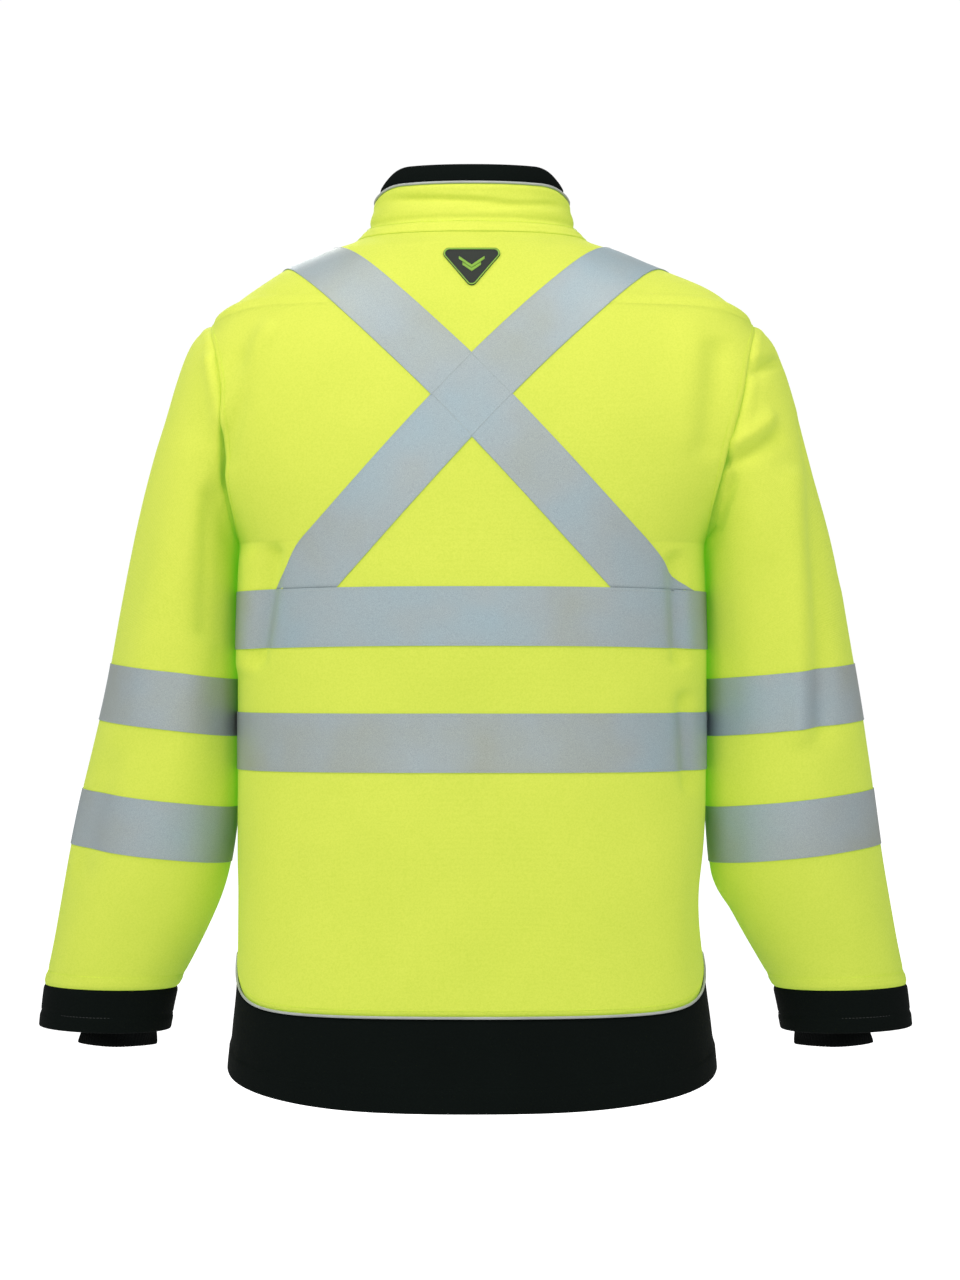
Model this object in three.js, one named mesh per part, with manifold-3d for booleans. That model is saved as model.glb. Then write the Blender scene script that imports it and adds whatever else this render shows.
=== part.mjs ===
// Hi-vis work coat with a stand collar, set-in sleeves, reflective tape, a full-length front zip and two zipped hand
// pockets, laid out as the separate cut and moulded pieces that it is sewn from.
// Millimetres, +Z up. The wearer faces -Y, so the wearer's left is +X. The origin is on the coat's centre plane,
// level with the points where the shoulder seams meet the collar, over the middle of the side seams.
import * as THREE from "three";
import { mergeVertices } from "three/addons/utils/BufferGeometryUtils.js";
import Module from "manifold-3d";

const wasm = await Module();
wasm.setup();

// ---- Driving dimensions ---------------------------------------------------------------------------------------
const CLOTH = 3; // softshell laminate with its bonded fleece
const LINING = 1.6; // body lining
const LINING_EASE = 6.6; // clearance between the lining and the shell, which holds the pocket bags
const SEAM_GAP = 0.5; // half the clearance between two pieces that are sewn edge to edge
const LIFT = 0.4; // clearance between a piece and the cloth that it lies on
const TAPE_THICK = 0.8;
const TAPE_WIDTH = 50.8;

const BODY_LENGTH = 738; // from the neck point level to the hem at the side seams
const TAIL_DROP = 25; // how much lower the hem is at the centre back
const FRONT_DROP = 8; // and at the centre front
const HEM_BAND = 80; // height of the black hem panel at the centre back
const HEM_PEAK = 42; // how much higher its top edge runs at the side seams
const CHEST_HALF = 209; // half the body's width
const HEM_FLARE = 14; // how much wider the hem is than the chest, each side
const SHOULDER_REACH = 32; // from the chest line out to the shoulder tip
const SHOULDER_DROP = 68; // from the neck point down to the shoulder tip
const ARMHOLE_HEIGHT = 207;
const ARMHOLE_BACK = 95; // how far the armhole reaches behind the shoulder seam
const ARMHOLE_FRONT = 89;
const NECK_HALF = 91;
const NECK_BACK = 70;
const FRONT_NECK_DROP = 57;
const BACK_DEPTH = 134; // from the side seam plane to the centre back
const FRONT_TOP = 89; // from the side seam plane to the straight front edge, at the collar's foot
const FRONT_LEAN = 0.0696; // how much further forward the front edge is for each millimetre down

const COLLAR_BACK = 57; // height of the collar's top edge above the origin: centre back, sides, front
const COLLAR_SIDE = 33;
const COLLAR_FRONT = 8;
const COLLAR_ROLL = 15; // height of the black facing that rolls out at the back of the neck
const COLLAR_IN = 5; // how much narrower the collar's top is, each side
const PIPING_RADIUS = 1.3;

const SLEEVE_DROP = 603; // from the shoulder tip down to the sleeve's end
const WRIST_WIDTH = 120;
const WRIST_HALF_DEPTH = 48;
const SLEEVE_SIDE_GAP = 3.3; // between the hanging sleeve and the body
const ELBOW_FLEX = 60; // degrees
const ELBOW_DROP = 360; // how far below the origin the elbow folds, at the middle of the sleeve
const CUFF_HEIGHT = 37;
const KNIT_HALF_WIDTH = 36;
const KNIT_HALF_DEPTH = 28;
const KNIT_SHIFT = 13; // how far its middle lies towards the body from the sleeve's
const KNIT_OUT = 17; // how far the knitted inner cuff shows below the outer cuff
const KNIT_IN = 55; // how far it reaches up inside the sleeve

const UPPER_TAPE_TOP = 314; // how far below the origin each body tape's upper edge lies
const LOWER_TAPE_TOP = 423;
const SLEEVE_TAPES = [381, 493]; // and each sleeve tape's, on the outside of the sleeve
const SLEEVE_TAPE_TILT = 6.5; // degrees that the sleeve tapes drop towards the body
const CROSS_DROP = 149; // how far below the origin the two brace tapes cross
const BRACE_FRONT = 128; // from the centre plane to the middle of each brace tape on the chest

const CHAIN_HALF = 3.2; // half the closed chain's width
const CHAIN_GAP = 1.2; // from the centre plane to each half of the chain, clear of the slider's bridge
const CHAIN_THICK = 2.8;
const ZIP_TAPE = 15; // width of each zip tape
const ZIP_TAPE_THICK = 0.9;
const ZIP_SLOT = 8; // from the centre plane to each front edge
const ZIP_TOP = 5; // how far the chain starts below the collar's front edge
const ZIP_FOOT = 14; // how far the chain ends above the hem
const SLIDER = { length: 15, width: 11, plate: 1.3, slot: 0.6 };
const PULL = { length: 34, width: 9, thick: 1.6, gap: 2.6 };
const FLAP_WIDTH = 58;
const FLAP_THICK = 2;

const HAND_ZIP = { top: 492, drop: 140, upper: 148, lower: 166 }; // heights, and distances from the centre plane
const POCKET_STRIP = 9; // width of a pocket zip
const POCKET_SLIDER = { length: 9, width: 7.4, height: 5.2, plate: 1.8 };
const POCKET_PULL = { length: 22, width: 5.5, thick: 1.4, gap: 1.9 };
const EYE_HALF = 1.25; // half the depth of the eye that a pull hangs in
const HAND_BAG = { inner: 84, outer: 172, above: 14, below: 180, thick: 2 }; // distances from the centre plane

const BADGE = { width: 50, height: 33, thick: 1.2, top: 20 };
const LOOP = { width: 62, rise: 9, strap: 7, thick: 1.4 };
const LABEL = { width: 52, height: 34, thick: 0.7 };

const SHOULDER_HALF = CHEST_HALF + SHOULDER_REACH;
const UNDERARM_DROP = SHOULDER_DROP + ARMHOLE_HEIGHT;
const UNDERARM_HALF = CHEST_HALF - 1;
const HEM_LINE = -(BODY_LENGTH + TAIL_DROP - HEM_BAND);
const TAU = 2 * Math.PI;

// ---- Materials ------------------------------------------------------------------------------------------------
const finish = (color, roughness, metalness = 0) => new THREE.MeshStandardMaterial({ color, roughness, metalness });
const LIME = finish(0xd9ec45, 0.85);
const BLACK_CLOTH = finish(0x101412, 0.9);
const BLACK_KNIT = finish(0x0d100f, 0.95);
const QUILT = finish(0x16191b, 0.8);
const SILVER = finish(0x9facae, 0.45, 0.2);
const PIPING_GREY = finish(0x8f9490, 0.5, 0.1);
const ZIP_BLACK = finish(0x0b0c0d, 0.5);
const GUNMETAL = finish(0x4a4d50, 0.35, 0.9);
const BADGE_BLACK = finish(0x141a14, 0.6);
const LABEL_GREY = finish(0x8a8e90, 0.8);

const coat = new THREE.Group();

/** Adds a named mesh to a group. */
function add(name, geometry, material, group = coat) {
  const mesh = new THREE.Mesh(geometry, material);
  mesh.name = name;
  group.add(mesh);
  return mesh;
}

// ---- Solids ---------------------------------------------------------------------------------------------------
/** A closed BufferGeometry as a manifold-3d solid. */
function solid(geometry) {
  const bare = geometry.index ? geometry.toNonIndexed() : geometry.clone();
  bare.deleteAttribute("normal");
  bare.deleteAttribute("uv");
  const merged = mergeVertices(bare, 1e-4);
  return new wasm.Manifold(
    new wasm.Mesh({
      numProp: 3,
      vertProperties: merged.attributes.position.array,
      triVerts: new Uint32Array(merged.index.array),
    }),
  );
}

/** A manifold-3d solid as a BufferGeometry. */
function geometryOf(made) {
  const mesh = made.getMesh();
  const points = new Float32Array(mesh.numVert * 3);
  for (let i = 0; i < mesh.numVert; i++) {
    points.set(mesh.vertProperties.subarray(i * mesh.numProp, i * mesh.numProp + 3), i * 3);
  }
  const geometry = new THREE.BufferGeometry();
  geometry.setAttribute("position", new THREE.BufferAttribute(points, 3));
  geometry.setIndex(new THREE.BufferAttribute(new Uint32Array(mesh.triVerts), 1));
  return geometry;
}

/**
 * A closed skin between two offsets of a surface. place(i, j, offset) gives the grid's points, i running round and
 * j up; wrap joins the last column to the first.
 */
function skin(place, columns, rows, low, high, wrap = false) {
  const across = wrap ? columns : columns + 1;
  const points = [];
  for (const offset of [high, low]) {
    for (let j = 0; j <= rows; j++) {
      for (let i = 0; i < across; i++) points.push(...place(i, j, offset));
    }
  }
  const layer = across * (rows + 1);
  const at = (side, i, j) => side * layer + j * across + (i % across);
  const faces = [];
  const quad = (a, b, c, d) => faces.push(a, b, c, a, c, d);
  for (let j = 0; j < rows; j++) {
    for (let i = 0; i < columns; i++) {
      quad(at(0, i, j), at(0, i + 1, j), at(0, i + 1, j + 1), at(0, i, j + 1));
      quad(at(1, i, j), at(1, i, j + 1), at(1, i + 1, j + 1), at(1, i + 1, j));
    }
  }
  for (let i = 0; i < columns; i++) {
    quad(at(1, i, 0), at(1, i + 1, 0), at(0, i + 1, 0), at(0, i, 0));
    quad(at(0, i, rows), at(0, i + 1, rows), at(1, i + 1, rows), at(1, i, rows));
  }
  for (let j = 0; j < rows && !wrap; j++) {
    quad(at(0, 0, j), at(0, 0, j + 1), at(1, 0, j + 1), at(1, 0, j));
    quad(at(1, columns, j), at(1, columns, j + 1), at(0, columns, j + 1), at(0, columns, j));
  }
  const geometry = new THREE.BufferGeometry();
  geometry.setAttribute("position", new THREE.BufferAttribute(new Float32Array(points), 3));
  geometry.setIndex(faces);
  return facingOut(geometry);
}

/** Turns a closed geometry's faces round if they point inwards. */
function facingOut(geometry) {
  const p = geometry.attributes.position;
  const f = geometry.index.array;
  const [a, b, c] = [new THREE.Vector3(), new THREE.Vector3(), new THREE.Vector3()];
  let volume = 0;
  for (let i = 0; i < f.length; i += 3) {
    a.fromBufferAttribute(p, f[i]);
    b.fromBufferAttribute(p, f[i + 1]);
    c.fromBufferAttribute(p, f[i + 2]);
    volume += a.dot(b.cross(c));
  }
  if (volume < 0) {
    for (let i = 0; i < f.length; i += 3) [f[i + 1], f[i + 2]] = [f[i + 2], f[i + 1]];
  }
  return geometry;
}

/** A box between two corners. */
function block(low, high) {
  const size = high.map((h, k) => h - low[k]);
  const box = new THREE.BoxGeometry(...size);
  return box.translate(...low.map((l, k) => l + size[k] / 2));
}

// ---- The body's surface ---------------------------------------------------------------------------------------
// Level rings from below the hem to the neck seam: height, half width at the side or armhole seam, depth to the
// centre back, and the power of the superellipse that the ring follows.
const shoulderFalls = [0.82, 0.615, 0.4, 0.215, 0.092];
const shoulderHalves = [0.86, 0.685, 0.485, 0.29, 0.125];
const RINGS = [
  [-BODY_LENGTH - 46, CHEST_HALF + HEM_FLARE + 3, BACK_DEPTH + 5, 2.6],
  [-BODY_LENGTH, CHEST_HALF + HEM_FLARE, BACK_DEPTH + 4, 2.6],
  [-BODY_LENGTH + 34, CHEST_HALF + HEM_FLARE * 0.6, BACK_DEPTH + 1, 2.6],
  [-BODY_LENGTH + 78, CHEST_HALF + HEM_FLARE * 0.15, BACK_DEPTH - 3, 2.6],
  [-BODY_LENGTH + 154, CHEST_HALF, BACK_DEPTH - 7, 2.6],
  [-(0.42 * UNDERARM_DROP + 0.58 * (BODY_LENGTH - 154)), CHEST_HALF, BACK_DEPTH - 8, 2.6],
  [-(0.71 * UNDERARM_DROP + 0.29 * (BODY_LENGTH - 154)), CHEST_HALF, BACK_DEPTH - 3, 2.7],
  ...[0, 0.25, 0.5, 0.75, 1].map((f, k) => [
    -UNDERARM_DROP + f * ARMHOLE_HEIGHT,
    UNDERARM_HALF + f * (SHOULDER_HALF - UNDERARM_HALF),
    BACK_DEPTH - [0, 0, 3, 10, 24][k],
    [2.8, 3, 3.1, 3, 2.7][k],
  ]),
  ...shoulderFalls.map((f, k) => [
    -SHOULDER_DROP * f,
    NECK_HALF + (SHOULDER_HALF - NECK_HALF) * shoulderHalves[k],
    NECK_BACK + (BACK_DEPTH - 24 - NECK_BACK) * [0.87, 0.74, 0.58, 0.42, 0.24][k],
    [2.6, 2.5, 2.4, 2.3, 2.25][k],
  ]),
  [0, NECK_HALF, NECK_BACK, 2.2],
];
const UNDERARM_RING = 7;
const TIP_RING = 11;
const NECK_RING = RINGS.length - 1;

/** A list of equal-length rows, read at any place between them on a smooth curve. */
function readAlong(table, t) {
  const k = Math.min(Math.max(Math.floor(t), 0), table.length - 2);
  const f = t - k;
  const row = (i) => table[Math.min(Math.max(i, 0), table.length - 1)];
  const [p, q, r, s] = [row(k - 1), row(k), row(k + 1), row(k + 2)];
  return q.map((value, c) => {
    const slopeIn = (r[c] - p[c]) / 2;
    const slopeOut = (s[c] - q[c]) / 2;
    const rest = r[c] - value;
    return value + f * (slopeIn + f * (3 * rest - 2 * slopeIn - slopeOut + f * (slopeIn + slopeOut - 2 * rest)));
  });
}

/** The ring number whose level is z. */
function ringOf(z) {
  let [low, high] = [0, NECK_RING];
  for (let n = 0; n < 30; n++) {
    const mid = (low + high) / 2;
    if (readAlong(RINGS, mid)[0] < z) low = mid;
    else high = mid;
  }
  return (low + high) / 2;
}

/** How far forward the straight front edge is at height z. */
const frontDepth = (z) => FRONT_TOP - FRONT_LEAN * (z - COLLAR_FRONT);
const smooth = (f) => {
  const c = Math.min(Math.max(f, 0), 1);
  return c * c * (3 - 2 * c);
};

/** The share of the armhole's reach at level z, 0 away from the armhole. */
function armholeShare(z) {
  const q = (z + UNDERARM_DROP - ARMHOLE_HEIGHT / 2) / (ARMHOLE_HEIGHT / 2);
  return Math.sqrt(Math.max(0, 1 - q * q));
}

/** What a ring needs for its back half (side 1) or its front half (side -1). */
function half(t, side) {
  const [z, seamX, back, power] = readAlong(RINGS, t);
  const depth = side > 0 ? back : frontDepth(z);
  const seamY = Math.max(SEAM_GAP, armholeShare(z) * (side > 0 ? ARMHOLE_BACK : ARMHOLE_FRONT));
  const share = (seamY / depth) ** power;
  return { z, depth, power, width: seamX / (1 - share) ** (1 / power), seamSine: Math.sqrt(share) };
}

/** A point of the body's outer surface: ring t, angle a from the wearer's left, positive towards the back. */
function bodyPoint(t, a) {
  const [s, c] = [Math.sin(a), Math.cos(a)];
  const side = s < 0 ? -1 : 1;
  const ring = half(t, side);
  const curve = (value) => Math.sign(value) * Math.abs(value) ** (2 / ring.power);
  let z = ring.z;
  let depth = ring.depth;
  if (side < 0) {
    const inward = Math.max(0, (-s - ring.seamSine) / (1 - ring.seamSine));
    z -= FRONT_NECK_DROP * smooth(1 + ring.z / 170) * inward ** 1.6;
    depth = frontDepth(z);
  }
  return [ring.width * curve(c), depth * curve(s), z];
}

/** The point at a distance outside the body's surface. */
function bodyPlace(t, a, offset) {
  const [dt, da] = [0.01, 0.004];
  const p = new THREE.Vector3(...bodyPoint(t, a));
  const up = new THREE.Vector3(...bodyPoint(Math.min(t + dt, NECK_RING), a));
  const down = new THREE.Vector3(...bodyPoint(Math.max(t - dt, 0), a));
  const on = new THREE.Vector3(...bodyPoint(t, a + da));
  const back = new THREE.Vector3(...bodyPoint(t, a - da));
  const normal = on.sub(back).cross(up.sub(down)).normalize();
  return p.addScaledVector(normal, offset).toArray();
}

/** Angles that spread columns evenly along a ring between two angles. */
function evenAngles(t, from, to, columns) {
  const steps = 96;
  const lengths = [0];
  let last = new THREE.Vector3(...bodyPoint(t, from));
  for (let k = 1; k <= steps; k++) {
    const next = new THREE.Vector3(...bodyPoint(t, from + ((to - from) * k) / steps));
    lengths.push(lengths[k - 1] + last.distanceTo(next));
    last = next;
  }
  const angles = [];
  for (let i = 0, k = 0; i <= columns; i++) {
    const want = (lengths[steps] * i) / columns;
    while (k < steps - 1 && lengths[k + 1] < want) k++;
    const f = Math.min(1, (want - lengths[k]) / (lengths[k + 1] - lengths[k]));
    angles.push(from + ((to - from) * (k + f)) / steps);
  }
  return angles;
}

/** The height of the black hem panel's top edge, and of the hem, at an angle. */
const pipeHeight = (a) => HEM_LINE + HEM_PEAK * (1 - Math.abs(Math.sin(a))) ** 3.2;
const hemHeight = (a) => -BODY_LENGTH - (Math.sin(a) > 0 ? TAIL_DROP * Math.sin(a) : -FRONT_DROP * Math.sin(a));

/** The first and last angles of a panel at ring t: "back", "left" or "right". */
function panelEnds(t, panel) {
  const seam = Math.asin(half(t, panel === "back" ? 1 : -1).seamSine);
  if (panel === "back") return [seam, Math.PI - seam];
  const front = half(t, -1);
  const edge = Math.asin(Math.min(1, (ZIP_SLOT / front.width) ** (front.power / 2)));
  return panel === "left" ? [TAU - seam, 1.5 * Math.PI + edge] : [1.5 * Math.PI - edge, Math.PI + seam];
}

/** Rows of ring numbers for a panel above the hem piping: side rows, armhole rows and shoulder rows. */
const PANEL_ROWS = { side: 4, armhole: 6, shoulder: 4 };
function panelRow(j) {
  const { side, armhole, shoulder } = PANEL_ROWS;
  if (j <= side) return { low: j / side, t: UNDERARM_RING };
  if (j <= side + armhole) {
    const f = (1 - Math.cos((Math.PI * (j - side)) / armhole)) / 2;
    return { t: UNDERARM_RING + f * (TIP_RING - UNDERARM_RING) };
  }
  return { t: TIP_RING + ((j - side - armhole) / shoulder) * (NECK_RING - TIP_RING) };
}

/** A panel's grid on the body's surface; crown lowers its last row by that many rings below the neck seam. */
function panelGrid(panel, columns, crown = 0) {
  const rows = PANEL_ROWS.side + PANEL_ROWS.armhole + PANEL_ROWS.shoulder;
  const cache = new Map();
  const place = (i, j, offset) => {
    const row = panelRow(j);
    if (!cache.has(j)) cache.set(j, evenAngles(row.t, ...panelEnds(row.t, panel), columns));
    const a = cache.get(j)[i];
    let t = row.t;
    if (row.low !== undefined) {
      const foot = ringOf(pipeHeight(a) + SEAM_GAP);
      t = foot + (t - foot) * row.low;
    }
    if (j === rows) t -= crown;
    return bodyPlace(t, a, offset);
  };
  return { place, columns, rows };
}

const GRIDS = { back: panelGrid("back", 14), left: panelGrid("left", 7), right: panelGrid("right", 7) };

/** A skin on a panel's own grid, so that what lies on the panel has the same facets. */
const onPanel = (panel, low, high) => {
  const { place, columns, rows } = GRIDS[panel];
  return solid(skin(place, columns, rows, low, high));
};

/** A patch of the body between two angles and two height functions of the angle. */
function bodyBand(ends, columns, rows, bottom, top, low, high) {
  const angles = evenAngles(2, ...ends, columns);
  const place = (i, j, offset) => {
    const a = angles[i];
    return bodyPlace(ringOf(bottom(a) + ((top(a) - bottom(a)) * j) / rows), a, offset);
  };
  return skin(place, columns, rows, low, high);
}

// ---- Sleeves --------------------------------------------------------------------------------------------------
// Rings from the armhole seam to the sleeve's end: share of the drop on the outside and on the inside, distance
// out from the shoulder tip, distance in from the body, half depth, and how far forward the ring's middle is.
const WRIST_OUT = 150;
const WRIST_IN = SHOULDER_HALF + WRIST_OUT - WRIST_WIDTH - CHEST_HALF;
const ARMHOLE_HALF = (ARMHOLE_BACK + ARMHOLE_FRONT) / 2 - 0.4;
const ARMHOLE_SHIFT = (ARMHOLE_FRONT - ARMHOLE_BACK) / 2;
const SLEEVE_RINGS = [
  [0, 0, 0, -1, ARMHOLE_HALF, ARMHOLE_SHIFT],
  [0.0265, 0.038, 15, 2.5, ARMHOLE_HALF, ARMHOLE_SHIFT],
  [0.095, 0.087, 32, SLEEVE_SIDE_GAP, ARMHOLE_HALF - 1, ARMHOLE_SHIFT],
  [0.2, 0.143, 50, SLEEVE_SIDE_GAP, ARMHOLE_HALF - 3, ARMHOLE_SHIFT + 1],
  [0.33, 0.215, 69.5, SLEEVE_SIDE_GAP, ARMHOLE_HALF - 6, 2],
  [0.48, 0.304, 88.5, SLEEVE_SIDE_GAP + 0.2, ARMHOLE_HALF - 9, 6],
  [0.68, 0.583, 112, SLEEVE_SIDE_GAP + 0.7, ARMHOLE_HALF - 14, 12],
  [0.84, 0.777, 129.5, SLEEVE_SIDE_GAP + 13, WRIST_HALF_DEPTH + 19, 18],
  [1, 1, WRIST_OUT, WRIST_IN, WRIST_HALF_DEPTH, 26],
];
const SLEEVE_END = SLEEVE_RINGS.length - 1;
const WRIST_DROP = SHOULDER_DROP + SLEEVE_DROP;

/** A sleeve ring's outer and inner points, half depth and middle. t past the last ring runs straight on. */
function sleeveRing(t) {
  const over = Math.max(0, t - SLEEVE_END);
  const [f, g, out, gap, depth, forward] = readAlong(SLEEVE_RINGS, Math.min(t, SLEEVE_END));
  const outer = new THREE.Vector3(SHOULDER_HALF + out, 0, -SHOULDER_DROP - f * SLEEVE_DROP);
  const inner = new THREE.Vector3(CHEST_HALF + gap, 0, -UNDERARM_DROP - g * (WRIST_DROP + 3 - UNDERARM_DROP));
  outer.add(new THREE.Vector3(0.09, 0, -1).multiplyScalar(over));
  inner.add(new THREE.Vector3(0.19, 0, -1).multiplyScalar(over));
  return { outer, inner, depth, forward };
}

/** A point outside the sleeve's surface by an offset: ring t, angle a from the outside, positive to the back. */
function sleevePlace(t, a, offset, squeeze = [1, 1], shift = 0) {
  const point = (u, b) => {
    const { outer, inner, depth, forward } = sleeveRing(u);
    const middle = outer.clone().add(inner).multiplyScalar(0.5);
    const arm = outer.clone().sub(inner).multiplyScalar(0.5 * squeeze[0]);
    middle.addScaledVector(arm, Math.cos(b));
    middle.x -= shift;
    middle.y += Math.sin(b) * depth * squeeze[1] - forward;
    return middle;
  };
  const along = point(t + 0.02, a).sub(point(Math.max(0, t - 0.02), a));
  const round = point(t, a + 0.01).sub(point(t, a - 0.01));
  return point(t, a).addScaledVector(along.cross(round).normalize(), offset);
}

/** The ring whose outer point lies at height z. */
function sleeveRingOf(z) {
  let [low, high] = [0, SLEEVE_END];
  for (let n = 0; n < 30; n++) {
    const mid = (low + high) / 2;
    if (sleeveRing(mid).outer.z > z) low = mid;
    else high = mid;
  }
  return (low + high) / 2;
}

/** A tube of the sleeve between two ring numbers, for the left (1) or right (-1) arm. */
function sleeveTube(arm, from, to, rows, low, high, { squeeze, shift, columns = 16 } = {}) {
  const place = (i, j, offset) => {
    const p = sleevePlace(from + ((to - from) * j) / rows, (TAU * i) / columns, offset, squeeze, shift);
    return [arm * p.x, p.y, p.z];
  };
  return skin(place, columns, rows, low, high, true);
}

/** A wide slab between two heights, tilted by degrees about the middle of a sleeve, to cut a band out of it. */
function slab(arm, top, height, tilt) {
  const reach = 400;
  const plate = block([-reach, -reach, -height], [reach, reach, 0]);
  plate.rotateY(THREE.MathUtils.degToRad(-arm * tilt));
  return plate.translate(arm * sleeveRing(sleeveRingOf(top)).outer.x, 0, top);
}

// ---- Body panels, hem and lining ------------------------------------------------------------------------------
const level = (low, high) => solid(block([-600, -600, low], [600, 600, high]));

/** The lime panels, with a slot in the front ones behind each pocket zip. */
function addPanels(slots) {
  add("back_panel", geometryOf(onPanel("back", -CLOTH, 0)), LIME);
  for (const side of ["left", "right"]) {
    let panel = onPanel(side, -CLOTH, 0);
    for (const slot of slots[side]) panel = panel.subtract(slot);
    add(`front_panel_${side}`, geometryOf(panel), LIME);
  }
}

/** The black hem panels and the piping in the seam above them. */
function addHem() {
  const top = (a) => pipeHeight(a) - SEAM_GAP;
  const pieces = { back: "hem_panel_back", left: "hem_panel_front_left", right: "hem_panel_front_right" };
  for (const [panel, name] of Object.entries(pieces)) {
    const columns = panel === "back" ? 14 : 7;
    const ends = panelEnds(2, panel);
    add(name, bodyBand(ends, columns, 2, hemHeight, top, -CLOTH, 0), BLACK_CLOTH);
    const low = (a) => pipeHeight(a) - PIPING_RADIUS;
    const high = (a) => pipeHeight(a) + PIPING_RADIUS;
    const piping = bodyBand(ends, columns * 2, 1, low, high, LIFT + 0.6, LIFT + 0.6 + 2 * PIPING_RADIUS);
    add(name.replace("hem_panel", "hem_piping"), piping, PIPING_GREY);
  }
}

/** The quilted lining behind each panel, from the facing at the hem to the facing at the neck. */
function addLining() {
  const low = -CLOTH - LINING_EASE - LINING;
  const high = -CLOTH - LINING_EASE;
  for (const panel of ["back", "left", "right"]) {
    const { place, columns, rows } = panelGrid(panel, panel === "back" ? 10 : 5, 1.05);
    let made = solid(skin(place, columns, rows, low, high));
    if (panel !== "back") {
      const side = panel === "left" ? 1 : -1;
      const edge = FLAP_WIDTH / 2 + 3;
      const keep = side > 0 ? block([edge, -600, -900], [600, 600, 900]) : block([-600, -600, -900], [-edge, 600, 900]);
      made = made.intersect(solid(keep));
    }
    add(panel === "back" ? "lining_back" : `lining_front_${panel}`, geometryOf(made), QUILT);
  }
}

// ---- Reflective tape ------------------------------------------------------------------------------------------
/** A flat outline in the frontal plane, pushed through the body along Y. */
function frontal(points) {
  const shape = new THREE.Shape(points.map(([x, z]) => new THREE.Vector2(x, z)));
  const prism = new THREE.ExtrudeGeometry(shape, { depth: 800, bevelEnabled: false });
  return solid(prism.rotateX(Math.PI / 2).translate(0, 400, 0));
}

/** The outline of a strip of constant width along points (x, z). */
function strip(line, width) {
  const side = (sign) =>
    line.map(([x, z], k) => {
      const [a, b] = [line[Math.max(k - 1, 0)], line[Math.min(k + 1, line.length - 1)]];
      const length = Math.hypot(b[0] - a[0], b[1] - a[1]);
      return [x - (sign * width * (b[1] - a[1])) / length / 2, z + (sign * width * (b[0] - a[0])) / length / 2];
    });
  return [...side(1), ...side(-1).reverse()];
}

/** The two level tapes round the body, and the brace tapes that cross on the back and run down the chest. */
function addBodyTapes() {
  const [low, high] = [LIFT, LIFT + TAPE_THICK];
  const names = { back: "back", left: "front_left", right: "front_right" };
  for (const [panel, where] of Object.entries(names)) {
    for (const [rank, top] of [["upper", UPPER_TAPE_TOP], ["lower", LOWER_TAPE_TOP]]) {
      const band = onPanel(panel, low, high).intersect(level(-top - TAPE_WIDTH, -top));
      add(`tape_${rank}_${where}`, geometryOf(band), SILVER);
    }
  }
  const foot = -UPPER_TAPE_TOP + LIFT;
  const above = level(foot, 300);
  const shoulderX = NECK_HALF + 0.38 * (SHOULDER_HALF - NECK_HALF);
  const rise = 0.9 * (UPPER_TAPE_TOP - CROSS_DROP) + TAPE_WIDTH;
  for (const [name, arm, step] of [["left", 1, 0], ["right", -1, LIFT + TAPE_THICK]]) {
    const line = [
      [-arm * rise, -CROSS_DROP - rise * 1.12],
      [0, -CROSS_DROP],
      [arm * 0.62 * shoulderX, -CROSS_DROP * 0.5],
      [arm * (shoulderX + 6), -CROSS_DROP * 0.22],
      [arm * (shoulderX + 40), CROSS_DROP * 0.1],
    ];
    const back = onPanel("back", low + step, high + step).intersect(frontal(strip(line, TAPE_WIDTH)));
    add(`brace_tape_back_${name}`, geometryOf(back.intersect(above)), SILVER);
    const down = frontal(strip([[arm * (shoulderX + 10), 40], [arm * BRACE_FRONT, -400]], TAPE_WIDTH));
    const front = onPanel(name, low, high).intersect(down);
    add(`brace_tape_front_${name}`, geometryOf(front.intersect(above)), SILVER);
  }
}

// ---- Sleeves, cuffs and their tape ----------------------------------------------------------------------------
/** The wedge that the elbow leaves free, on the hollow side of its fold. */
function elbowWedge(arm, keepUpper) {
  const { outer, inner, forward } = sleeveRing(sleeveRingOf(-ELBOW_DROP + 8));
  const pivot = [(arm * (outer.x + inner.x)) / 2, -forward, -ELBOW_DROP];
  const reach = 400;
  const tilt = Math.tan(THREE.MathUtils.degToRad(ELBOW_FLEX / 2 + 1.5));
  const rise = keepUpper ? 1 : -1;
  const profile = [
    [0, rise * SEAM_GAP],
    [reach, rise * SEAM_GAP],
    [reach, rise * 900],
    [-reach, rise * 900],
    [-reach, rise * (SEAM_GAP + reach * tilt)],
  ];
  const shape = new THREE.Shape(profile.map(([y, z]) => new THREE.Vector2(y, z)));
  const prism = new THREE.ExtrudeGeometry(shape, { depth: 800, bevelEnabled: false });
  prism.translate(0, 0, -400).rotateX(Math.PI / 2).rotateZ(Math.PI / 2);
  return { keep: solid(prism.translate(...pivot)), pivot };
}

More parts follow.
